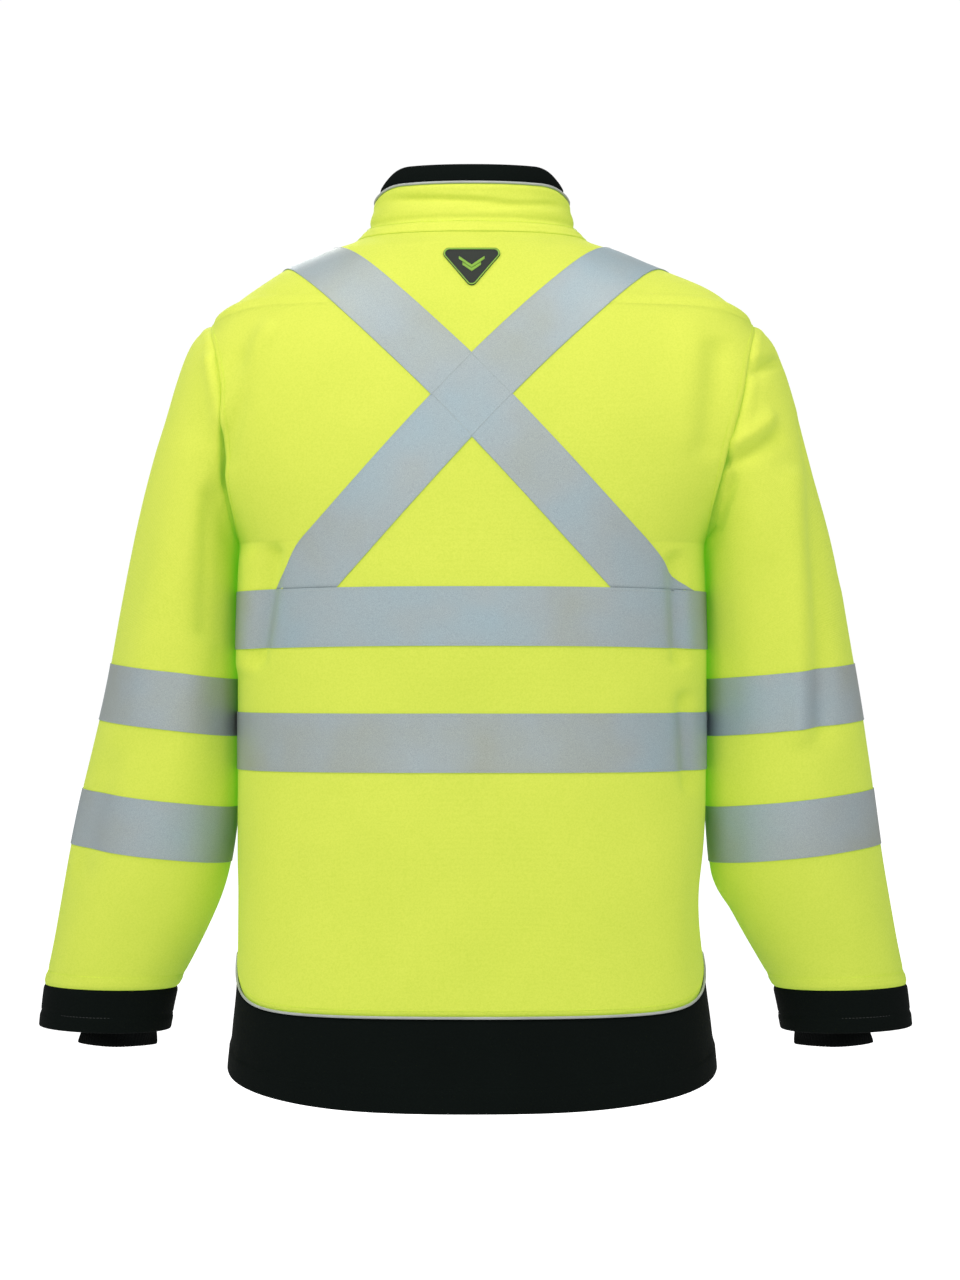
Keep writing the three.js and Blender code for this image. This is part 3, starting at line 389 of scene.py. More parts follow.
@dataclass(frozen=True)
class KnitFinish:
    """Softshell's face: fine knitted stitches in columns, a slightly mottled dye, and a painted glow that
    lifts its shade.
    """

    name: str
    colour: Triple
    deep: Triple
    wale: float = 1.25
    course: float = 1.05
    relief: float = 0.22
    sheen: float = 0.05
    roughness: float = 0.82
    # painted light: a constant green emission that lightens the shade in folds and grooves, standing in for
    # fluorescence and bounced light
    painted_glow: float = 0.215
    painted_glow_colour: Triple = (0.2, 1.0, 0.02)

    def build(self) -> Material:
        """Builds the material on the cloth's UVs."""
        s = NodeSheet(self.name)
        uv = s.place(uv=True)
        split = s.add("ShaderNodeSeparateXYZ")
        s.join(split, 0, uv)
        u = s.math("MULTIPLY", split.outputs[0], 1 / (self.wale * MM))
        v = s.math("MULTIPLY", split.outputs[1], 1 / (self.course * MM))
        across = s.math("ABSOLUTE", s.math("SUBTRACT", s.math("FRACT", u), 0.5))
        wave = s.math("SINE", s.math("MULTIPLY", s.math("ADD", v, s.math("MULTIPLY", across, 1.1)), TAU))
        wale = s.math("MULTIPLY", s.math("SINE", s.math("MULTIPLY", across, TAU)), 1.0)
        knit = s.math("ADD", s.math("MULTIPLY", wave, 0.35), s.math("MULTIPLY", wale, 0.5))
        place = s.place(uv=False)
        fuzz = s.noise(place, 900.0, 3.0, 0.6)
        cloud = s.noise(place, 9.0, 3.0, 0.55)
        tint = s.mix(s.math("MULTIPLY", s.math("ADD", knit, 1.0), 0.32), self.deep, self.colour)
        shade = s.ramp(cloud, [(0.3, (0.95, 0.96, 0.92)), (0.7, (1.0, 1.0, 1.0))])
        heather = s.ramp(s.noise(place, 620.0, 2.0, 0.7), [(0.3, (0.9, 0.92, 0.78)), (0.62, (1.0, 1.0, 1.0))])
        colour = s.mix(1.0, s.mix(1.0, tint, shade, "MULTIPLY"), heather, "MULTIPLY")
        height = s.math("ADD", knit, s.math("MULTIPLY", fuzz, 0.9))
        normal = s.bump(height, self.relief * MM, 0.8)
        # the emission here is painted glow that lightens the cloth's shaded folds and grooves
        return s.finish(Base_Color=colour, Roughness=self.roughness, Normal=normal, Sheen_Weight=self.sheen,
            Sheen_Roughness=0.5, Specular_IOR_Level=0.25, Emission_Color=self.painted_glow_colour,
            Emission_Strength=self.painted_glow)


@dataclass(frozen=True)
class FleeceFinish:
    """Black softshell with a napped face."""

    name: str
    colour: Triple
    nap: float = 0.35
    roughness: float = 0.9
    sheen: float = 0.35

    def build(self) -> Material:
        """Builds the material on the object's own coordinates and the cloth's UVs."""
        s = NodeSheet(self.name)
        place = s.place(uv=False)
        fibres = s.noise(place, 1100.0, 4.0, 0.7)
        tufts = s.noise(place, 260.0, 3.0, 0.6)
        dust = s.ramp(s.noise(place, 14.0, 2.0),
            [(0.35, tuple(0.75 * c for c in self.colour)), (0.7, self.colour)])
        colour = s.mix(s.math("MULTIPLY", fibres, 0.55), dust,
            tuple(min(1.0, 2.3 * c + 0.0008) for c in self.colour))
        height = s.math("ADD", s.math("MULTIPLY", fibres, 0.6), tufts)
        return s.finish(Base_Color=colour, Roughness=self.roughness,
            Normal=s.bump(height, self.nap * MM, 0.7),
            Sheen_Weight=self.sheen, Sheen_Roughness=0.6, Specular_IOR_Level=0.04)


@dataclass(frozen=True)
class ReflectiveFinish:
    """Glass-bead tape: a fine bright grain over a grey film, with cool and warm casts in patches that are
    painted reflections, the tints the tape takes from what it reflects.
    """

    name: str
    colour: Triple
    cool_reflection_tint: Triple
    warm_reflection_tint: Triple
    metallic: float = 0.2
    roughness: float = 0.52

    def build(self) -> Material:
        """Builds the material."""
        s = NodeSheet(self.name)
        place = s.place(uv=False)
        # painted reflection: random patches of the bluish and warm tints that reflections give the tape
        cast = s.noise(place, 7.0, 3.0, 0.55)
        film_with_painted_tints = s.ramp(cast, [(0.3, self.warm_reflection_tint), (0.5, self.colour), (0.72, self.cool_reflection_tint)])
        beads = s.noise(place, 1500.0, 2.0, 0.7)
        grain = s.ramp(beads, [(0.25, (0.78, 0.78, 0.78)), (0.75, (1.2, 1.2, 1.2))])
        colour = s.mix(1.0, film_with_painted_tints, grain, "MULTIPLY")
        scuff = s.noise(place, 60.0, 4.0, 0.6)
        rough = s.math("ADD", self.roughness - 0.06, s.math("MULTIPLY", scuff, 0.14))
        height = s.math("ADD", beads, s.math("MULTIPLY", scuff, 0.6))
        return s.finish(Base_Color=colour, Roughness=rough, Metallic=self.metallic,
            Normal=s.bump(height, 0.07 * MM, 0.6), Specular_IOR_Level=0.45)


@dataclass(frozen=True)
class PlainFinish:
    """A moulded, cast, woven or spun surface: one colour with a fine grain and slight wear."""

    name: str
    colour: Triple
    roughness: float
    metallic: float = 0.0
    grain: float = 700.0
    relief: float = 0.04
    spread: float = 0.25
    weave: float = 0.0

    def build(self) -> Material:
        """Builds the material."""
        s = NodeSheet(self.name)
        place = s.place(uv=False)
        fine = s.noise(place, self.grain, 3.0, 0.6)
        if self.weave:
            split = s.add("ShaderNodeSeparateXYZ")
            s.join(split, 0, place)
            step = TAU / (self.weave * MM)
            across = s.math("SINE", s.math("MULTIPLY", split.outputs[0], step))
            up = s.math("SINE", s.math("MULTIPLY", split.outputs[2], step))
            fine = s.math("ADD", s.math("MULTIPLY", s.math("MULTIPLY", across, up), 0.4), fine)
        wear = s.noise(place, 45.0, 3.0, 0.6)
        low, high = 1 - self.spread, 1 + self.spread
        dark = tuple(c * low for c in self.colour)
        light = tuple(min(1.0, c * high) for c in self.colour)
        tone = s.ramp(wear, [(0.3, dark), (0.7, light)])
        rough = s.math("ADD", self.roughness - 0.05, s.math("MULTIPLY", wear, 0.12))
        return s.finish(Base_Color=tone, Roughness=rough, Metallic=self.metallic,
            Normal=s.bump(fine, self.relief * MM, 0.6))


@dataclass
class Finishes:
    """Every finish on the coat, built once."""

    lime: Material = None
    lime_thread: Material = None
    black: Material = None
    black_thread: Material = None
    rib: Material = None
    quilt: Material = None
    tape: Material = None
    tape_thread: Material = None
    piping: Material = None
    zip_cloth: Material = None
    teeth: Material = None
    metal: Material = None
    badge: Material = None
    badge_edge: Material = None
    label: Material = None

    def build(self) -> "Finishes":
        """Builds every material."""
        self.lime = KnitFinish("lime_softshell", (0.67, 0.59, 0.1), (0.54, 0.475, 0.068)).build()
        self.lime_thread = PlainFinish("lime_thread", linear(206, 226, 66), 0.7, spread=0.1).build()
        self.black = FleeceFinish("black_softshell", (0.0018, 0.0031, 0.0026), sheen=0.008).build()
        self.black_thread = PlainFinish("black_thread", (0.009, 0.011, 0.011), 0.6).build()
        self.rib = FleeceFinish("black_rib", (0.0018, 0.0024, 0.0023), nap=0.5, roughness=0.95,
            sheen=0.01).build()
        self.quilt = FleeceFinish("quilted_lining", (0.011, 0.013, 0.015), nap=0.12, roughness=0.6,
            sheen=0.06).build()
        # the tape's second and third colours are painted reflection tints
        self.tape = ReflectiveFinish("reflective_tape", linear(150, 160, 162), linear(142, 163, 172),
            linear(150, 155, 144)).build()
        self.tape_thread = PlainFinish("tape_thread", linear(150, 160, 160), 0.6, spread=0.1).build()
        self.piping = PlainFinish("piping_grey", linear(156, 160, 154), 0.5, spread=0.12).build()
        self.zip_cloth = PlainFinish("zip_cloth", linear(24, 26, 28), 0.8, weave=0.7, relief=0.1).build()
        self.teeth = PlainFinish("zip_teeth", linear(30, 32, 34), 0.4).build()
        self.metal = PlainFinish("gunmetal", linear(96, 99, 102), 0.34, 0.9).build()
        self.badge = PlainFinish("badge_face", linear(20, 26, 18), 0.75, relief=0.08).build()
        self.badge_edge = PlainFinish("badge_green", linear(112, 152, 40), 0.5, spread=0.1).build()
        self.label = PlainFinish("woven_label", linear(150, 153, 154), 0.8, weave=0.5, relief=0.08).build()
        return self


# ---- The body's shape ----------------------------------------------------------------------------
@dataclass(frozen=True)
class Crease:
    """A soft ridge in the cloth along a line seen from behind or in front; a valley where height is negative.

    start and end are (x, z) in millimetres, and back says which face of the coat it is on.
    """

    start: tuple[float, float]
    end: tuple[float, float]
    width: float
    height: float
    back: bool = True

    def lift(self, x: Array, z: Array) -> Array:
        """How far the crease lifts the cloth at each point."""
        a, b = np.array(self.start), np.array(self.end)
        along = b - a
        length = float(np.hypot(*along))
        px, pz = x - a[0], z - a[1]
        f = (px * along[0] + pz * along[1]) / length
        off = (px * along[1] - pz * along[0]) / length
        fade = self.width * 1.6
        ends = smooth((f + fade) / fade) * smooth((length + fade - f) / fade)
        return 1.9 * self.height * ends * np.exp(-((off / self.width) ** 2))


@dataclass
class CoatBody:
    """The outer surface of the coat's body: level rings of two superellipse halves that meet at the seams."""

    length: float = 738.0
    tail: float = 25.0
    front_drop: float = 8.0
    hem_band: float = 80.0
    hem_peak: float = 42.0
    chest: float = 209.0
    flare: float = 9.0
    tip: float = 241.0
    tip_drop: float = 68.0
    armhole: float = 207.0
    armhole_back: float = 95.0
    armhole_front: float = 89.0
    neck: float = 91.0
    neck_back: float = 70.0
    neck_front_drop: float = 57.0
    back: float = 134.0
    front_top: float = 89.0
    front_lean: float = 0.0696
    collar_front: float = 8.0
    zip_slot: float = 8.0
    neck_flare: float = 12.0
    seam_depth: float = 1.2
    seam_width: float = 2.4
    pocket_upper: tuple[float, float] = (148.0, -492.0)
    pocket_lower: tuple[float, float] = (166.0, -632.0)
    creases: list[Crease] = field(default_factory=list)

    def __post_init__(self) -> None:
        """Lays out the rings from below the hem to the neck seam."""
        under = self.tip_drop + self.armhole
        rows = [
            [-self.length - 46, self.chest + self.flare + 3, self.back + 5, 2.6],
            [-self.length, self.chest + self.flare, self.back + 4, 2.6],
            [-self.length + 34, self.chest + self.flare * 0.6, self.back + 1, 2.6],
            [-self.length + 78, self.chest + self.flare * 0.15, self.back - 3, 2.6],
            [-self.length + 154, self.chest, self.back - 7, 2.6],
            [-(0.42 * under + 0.58 * (self.length - 154)), self.chest, self.back - 8, 2.6],
            [-(0.71 * under + 0.29 * (self.length - 154)), self.chest, self.back - 3, 2.7],
        ]
        for f, less, power in zip((0, 0.25, 0.5, 0.75, 1), (0, 0, 3, 10, 24), (2.8, 3, 3.1, 3, 2.7)):
            rows.append([-under + f * self.armhole, self.chest - 1 + f * (self.tip - self.chest + 1),
                self.back - less, power])
        falls, halves = (0.82, 0.615, 0.4, 0.215, 0.092), (0.86, 0.685, 0.485, 0.29, 0.125)
        for f, h, d, power in zip(falls, halves, (0.87, 0.74, 0.58, 0.42, 0.24), (2.6, 2.5, 2.4, 2.3, 2.25)):
            depth = self.neck_back + (self.back - 24 - self.neck_back) * d
            rows.append([-self.tip_drop * f, self.neck + (self.tip - self.neck) * h, depth, power])
        rows.append([-1.5, self.neck + self.neck_flare, self.neck_back + self.neck_flare * 0.7, 2.2])
        self.rings = np.array(rows, float)
        self.under_ring, self.tip_ring, self.neck_ring = 7, 11, len(rows) - 1
        self.level = np.linspace(0, self.neck_ring, 4001)
        self.table = read_along(self.rings, self.level)
        self.heights = self.table[:, 0]
        even = np.arange(self.heights[0], 0.0, 2.0)
        free = np.clip((-even - 14) / 30, 0, 1) * 0.5
        for column in (2, 3):
            values = np.interp(even, self.heights, self.table[:, column])
            for _ in range(60):
                values[1:-1] += free[1:-1] * ((values[:-2] + values[2:]) / 2 - values[1:-1])
            self.table[:, column] = np.where(self.heights < -14, np.interp(self.heights, even, values),
                self.table[:, column])
        widths = []
        for behind in (False, True):
            values = self.ring(np.interp(even, self.heights, self.level), np.full(even.shape, behind))[2]
            for _ in range(400):
                values[1:-1] += free[1:-1] * ((values[:-2] + values[2:]) / 2 - values[1:-1])
            widths.append(np.interp(self.level, np.interp(even, self.heights, self.level), values))
        self.widths = np.array(widths)
        upper, lower = (self.front_place(*end) for end in (self.pocket_upper, self.pocket_lower))
        up = unit(upper[0] - lower[0])
        self.pocket_point, self.pocket_up = upper[0], up
        self.pocket_out = unit(upper[1] - up * (upper[1] @ up))

    def ring_of(self, z: Array) -> Array:
        """The ring number at height z."""
        return np.interp(z, self.heights, self.level)

    def front_depth(self, z: Array) -> Array:
        """How far forward the straight front edge is at height z."""
        return self.front_top - self.front_lean * (z - self.collar_front)

    def ring(self, t: Array, behind: Array) -> tuple[Array, Array, Array, Array, Array]:
        """A ring's height, depth, width, power and the sine of the angle of its seam.

        Args:
            t: ring numbers.
            behind: whether each is asked for the back half.

        Returns:
            Arrays of the shape of t.
        """
        z, seam_x, back, power = (np.interp(t, self.level, column) for column in self.table.T)
        depth = np.where(behind, back, self.front_depth(z))
        q = (z + self.tip_drop + self.armhole / 2) / (self.armhole / 2)
        reach = np.sqrt(np.maximum(0, 1 - q * q)) * np.where(behind, self.armhole_back, self.armhole_front)
        share = (np.maximum(0.5, reach) / depth) ** power
        return z, depth, seam_x / (1 - share) ** (1 / power), power, np.sqrt(share)

    def front_place(self, x: float, z: float) -> tuple[Array, Array]:
        """The point and the outward normal of the bare front at (x, z)."""
        t = self.ring_of(np.array([z]))
        a = self.frontal(t, np.array([x]), False)
        return self.point(t, a)[0], self.normal(t, a)[0]

    def even_width(self, t: Array, behind: Array, width: Array, share: Array) -> Array:
        """A ring's width, freed from the armhole's sudden changes except close to the side seams.

        Args:
            t: ring numbers.
            behind: whether each is on the back half.
            width: the rings' widths.
            share: how far out each point is, from 0 to 1.

        Returns:
            The widths to use.
        """
        calm = np.where(behind, np.interp(t, self.level, self.widths[1]),
            np.interp(t, self.level, self.widths[0]))
        return calm + (width - calm) * smooth((share - 0.72) / 0.24)

    def point(self, t: Array, a: Array) -> Array:
        """Points of the bare surface: ring t, angle a from the wearer's left, positive towards the back."""
        t, a = np.broadcast_arrays(np.asarray(t, float), np.asarray(a, float))
        s, c = np.sin(a), np.cos(a)
        behind = s >= 0
        z, depth, width, power, seam = self.ring(t, behind)
        seam = np.hypot(seam, 0.24 * np.exp(-(((z + self.tip_drop) / 26) ** 2)))
        inward = np.clip((-s - seam) / (1 - seam), 0, None)
        z = z - np.where(behind, 0, self.neck_front_drop * smooth(1 + z / 170) * inward**1.6)
        depth = np.where(behind, depth, self.front_depth(z))
        bend = lambda v: np.sign(v) * np.abs(v) ** (2 / power)
        width = self.even_width(t, behind, width, np.abs(bend(c)))
        return np.stack([width * bend(c), depth * bend(s), z], -1)

    def normal(self, t: Array, a: Array) -> Array:
        """Outward unit normals of the bare surface."""
        up = self.point(np.minimum(t + 0.01, self.neck_ring), a) - self.point(np.maximum(t - 0.01, 0), a)
        round_ = self.point(t, a + 0.004) - self.point(t, a - 0.004)
        return unit(np.cross(round_, up))

    def drape(self, p: Array) -> Array:
        """How far the cloth stands off the bare surface at points p: broad waves and placed creases."""
        x, y, z = np.moveaxis(p, -1, 0)
        wave = 0.9 * np.sin(x / 47 + 0.8) * np.sin(z / 71 + 0.4) + 0.6 * np.sin(x / 29 - z / 53 + 2.0)
        wave += 0.35 * np.sin(x / 17 + z / 23) * np.sin(z / 31 - 1.0)
        lift = wave * smooth((225 - np.abs(x)) / 60) * smooth((-z - 10) / 80)
        for crease in self.creases:
            on = smooth((y if crease.back else -y) / 30)
            lift = lift + crease.lift(x, z) * on
        lift = np.where((y < 0) & (lift < 0), -2.4 * np.tanh(-lift / 2.4), lift)
        (upper_x, upper_z), (lower_x, lower_z) = self.pocket_upper, self.pocket_lower
        line = lower_x + (z - lower_z) * (upper_x - lower_x) / (upper_z - lower_z)
        pocket = np.abs(np.abs(x) - line) + np.clip(lower_z - z, 0, None) + np.clip(z - upper_z - 2, 0, None)
        calm = smooth((pocket - 7) / 16)
        level = (self.pocket_point - np.stack([np.abs(x), y, z], -1)) @ self.pocket_out - 0.25
        lift = np.where(y < 0, lift * calm * smooth((np.abs(x) - 20) / 30) + level * (1 - calm), lift)
        beside = smooth((-z - 285) / 20) * smooth((z + 590) / 40)
        return lift + 0.9 * beside * smooth((np.abs(x) - 198) / 8)

    def place(self, t: Array, a: Array, lift: float | Array = 0.0) -> tuple[Array, Array]:
        """Draped points and normals.

        Args:
            t: ring numbers.
            a: angles.
            lift: distance outside the cloth's face.

        Returns:
            Points and bare normals.
        """
        p, n = self.point(t, a), self.normal(t, a)
        return hang(p + n * (self.drape(p) + lift)[..., None]), n

    def ends(self, t: Array, panel: Panel) -> tuple[Array, Array]:
        """The first and last angles of a panel at rings t."""
        t = np.asarray(t, float)
        behind = np.full(t.shape, panel is Panel.BACK)
        _, _, width, power, sine = self.ring(t, behind)
        seam = np.arcsin(np.clip(sine, 0, 1))
        if panel is Panel.BACK:
            return seam, math.pi - seam
        edge = np.arcsin(np.clip((self.zip_slot / width) ** (power / 2), 0, 1))
        if panel is Panel.LEFT:
            return 1.5 * math.pi + edge, TAU - seam
        return math.pi + seam, 1.5 * math.pi - edge

    def pipe(self, a: Array) -> Array:
        """Height of the hem panel's top edge at angle a."""
        top = -(self.length + self.tail - self.hem_band)
        return top + self.hem_peak * (1 - np.abs(np.sin(a))) ** 3.2

    def hem(self, a: Array) -> Array:
        """Height of the hem at angle a."""
        s = np.sin(a)
        return -self.length - np.where(s > 0, self.tail * s, -self.front_drop * s)

    def spread(self, t: Array, first: Array, last: Array, count: int) -> Array:
        """Angles that spread columns along each ring by length, close together near both ends.

        Args:
            t: one ring number for each row.
            first: each row's first angle.
            last: each row's last angle.
            count: even columns between the close ones.

        Returns:
            Rows by columns of angles.
        """
        f = np.linspace(0, 1, 241)
        a = first[:, None] + (last - first)[:, None] * f
        length = run_lengths(self.point(np.broadcast_to(t[:, None], a.shape), a), 1)
        want = marks(length[:, -1], count)
        return np.stack([np.interp(w, run, row) for w, run, row in zip(want, length, a)])

    def frontal(self, t: Array, x: Array, behind: bool) -> Array:
        """The angle at which ring t stands at x from the centre plane, on the back or the front."""
        _, _, width, power, _ = self.ring(t, np.full(np.shape(t), behind))
        t, x, full = np.broadcast_arrays(np.asarray(t, float), x, width)
        for _ in range(5):
            width = self.even_width(t, np.full(t.shape, behind), full, np.clip(np.abs(x) / width, 0, 1))
        turn = np.arccos(np.clip((np.abs(x) / width) ** (power / 2), 0, 1))
        if behind:
            return np.where(x > 0, turn, math.pi - turn)
        return np.where(x > 0, TAU - turn, math.pi + turn)


def hang(p: Array) -> Array:
    """Moves points from the symmetric pattern to the way the coat hangs.

    The shoulders' ends slope down to the armholes, both sleeves swing a little to the wearer's right, and the
    right side is drawn in above the hem.
    """
    x, _, z = np.moveaxis(p, -1, 0)
    reach = np.abs(x)
    down = 10 * np.exp(-(((reach - 246) / 30) ** 2)) * np.exp(-(((z + 66) / 27) ** 2))
    start = 150 + 59 * smooth((-z - 60) / 200)
    swing = 9.5 * smooth((reach - start) / 60) * (1 - 0.66 * smooth((-z - 380) / 190))
    drawn = 6 * smooth((-x - 178) / 26) * smooth((235 + x) / 15) * np.exp(-(((z + 598) / 55) ** 2))
    return p + np.stack([drawn - swing, 0 * x, -down], -1)


def seam_dip(distances: list[Array], depth: float, width: float) -> Array:
    """How far cloth is drawn in beside its seams.

    Args:
        distances: distance to each seam at every point.
        depth: how far it is drawn in at the seam.
        width: how wide the dip is.

    Returns:
        A negative lift.
    """
    return -depth * sum(np.exp(-((d / width) ** 2)) for d in distances)


def stitches(name: str, lines: list[tuple[Array, Array]], material: Material, pitch: float = 3.2,
        length: float = 2.5, radius: float = 0.32) -> Piece:
    """Makes rows of thread stitches as one piece.

    Args:
        name: the piece's name.
        lines: for each row, points along it and the cloth's normals there, in millimetres.
        material: the thread's finish.
        pitch: distance from one stitch to the next.
        length: length of a stitch.
        radius: half the thread's thickness.

    Returns:
        The stitches.
    """
    bead = [(-0.5, 0.15), (-0.36, 0.85), (0.0, 1.0), (0.36, 0.85), (0.5, 0.15)]
    turn = np.arange(5) * TAU / 5
    points, faces = [], []
    count = 0
    for path, normal in lines:
        run = run_lengths(path[None], 1)[0]
        at = np.arange(pitch * 0.6, run[-1] - pitch * 0.4, pitch)
        if not len(at):
            continue
        read = lambda values, where: np.stack([np.interp(where, run, values[:, k]) for k in range(3)], -1)
        centre, n = read(path, at), unit(read(normal, at))
        along = unit(read(path, np.minimum(at + 0.8, run[-1])) - read(path, at - 0.8))
        side = np.cross(n, along)
        ring = [centre[:, None] + along[:, None] * f * length
            + radius * r
            * (n[:, None] * np.cos(turn)[:, None] * 0.75 + side[:, None] * np.sin(turn)[:, None])
            + n[:, None] * radius * 0.35 * (1 - 4 * f * f) for f, r in bead]
        block = np.stack(ring, 1).reshape(-1, 3)
        number = np.arange(len(at) * 25).reshape(len(at), 5, 5) + count
        a, b = number[:, :-1], np.roll(number, -1, 2)[:, :-1]
        c, d = np.roll(number, -1, 2)[:, 1:], number[:, 1:]
        faces += np.stack([a, b, c, d], -1).reshape(-1, 4).tolist()
        faces += number[:, 0, ::-1].tolist() + number[:, -1].tolist()
        points.append(block)
        count += len(block)
    made = mesh_object(name, np.concatenate(points) * MM, faces, None, material)
    faces_outward(made)
    return made


@dataclass
class PanelGrid:
    """The grid of one body panel: ring numbers and angles for every row and column."""

    body: CoatBody
    panel: Panel
    columns: int
    side_rows: int = 96
    armhole_rows: int = 56
    shoulder_rows: int = 42
    gap: float = 0.3

    def build(self) -> "PanelGrid":
        """Works out the ring numbers and angles."""
        b = self.body
        arm = (1 - np.cos(np.pi * np.linspace(0, 1, self.armhole_rows + 1)[1:])) / 2
        over = np.linspace(0, 1, self.shoulder_rows + 1)[1:]
        over = np.concatenate([over[:-1], [0.985, 0.993], over[-1:]])
        level = np.concatenate([b.under_ring + arm * (b.tip_ring - b.under_ring),
            b.tip_ring + over * (b.neck_ring - b.tip_ring)])
        low = np.concatenate([[0, 0.0022, 0.0048, 0.008, 0.0128],
            np.linspace(0.0128, 1, self.side_rows + 1)[1:]])
        flat = np.full(len(low), float(b.under_ring))
        base = np.concatenate([flat, level])
        first, last = b.ends(base, self.panel)
        angles = b.spread(base, first, last, self.columns)
        rings = np.repeat(base[:, None], angles.shape[1], 1)
        foot = b.ring_of(b.pipe(angles[0]) + self.gap)
        rings[: len(low)] = foot + (b.under_ring - foot) * low[:, None]
        self.first_armhole = len(low) - 1
        self.last_armhole = self.first_armhole + self.armhole_rows
        self.rings, self.angles = rings, angles
        return self

    def dips(self) -> Array:
        """How far the seams draw the panel in."""
        p = self.body.point(self.rings, self.angles)
        across, up = run_lengths(p, 1), run_lengths(p, 0)
        sides = [across, across[:, -1:] - across]
        edges = sides + [up, up[-1:] - up]
        armhole = np.zeros(p.shape[:1])
        armhole[self.first_armhole : self.last_armhole + 1] = 1
        stitched = 0.55 * armhole[:, None] * sum(np.exp(-(((d - 6.5) / 1.5) ** 2)) for d in sides)
        puffed = 0.5 * armhole[:, None] * sum(np.exp(-(((d - 3.2) / 2.0) ** 2)) for d in sides)
        return seam_dip(edges, self.body.seam_depth, self.body.seam_width) - stitched + puffed

    def surface(self, lift: float = 0.0) -> Array:
        """The draped grid with its seams drawn in."""
        return self.body.place(self.rings, self.angles, self.dips() + lift)[0]

    def edge_line(self, last: bool, distance: float, first_row: int, last_row: int) -> tuple[Array, Array]:
        """A line at a distance in from the first or last column, for a row of stitches."""
        rows = slice(first_row, last_row)
        p = self.body.point(self.rings[rows], self.angles[rows])
        run = run_lengths(p, 1)
        want = run[:, -1] - distance if last else np.full(len(run), distance)
        angle = np.array([np.interp(w, r, a) for w, r, a in zip(want, run, self.angles[rows])])
        return self.body.place(self.rings[rows, 0], angle, 0.1)


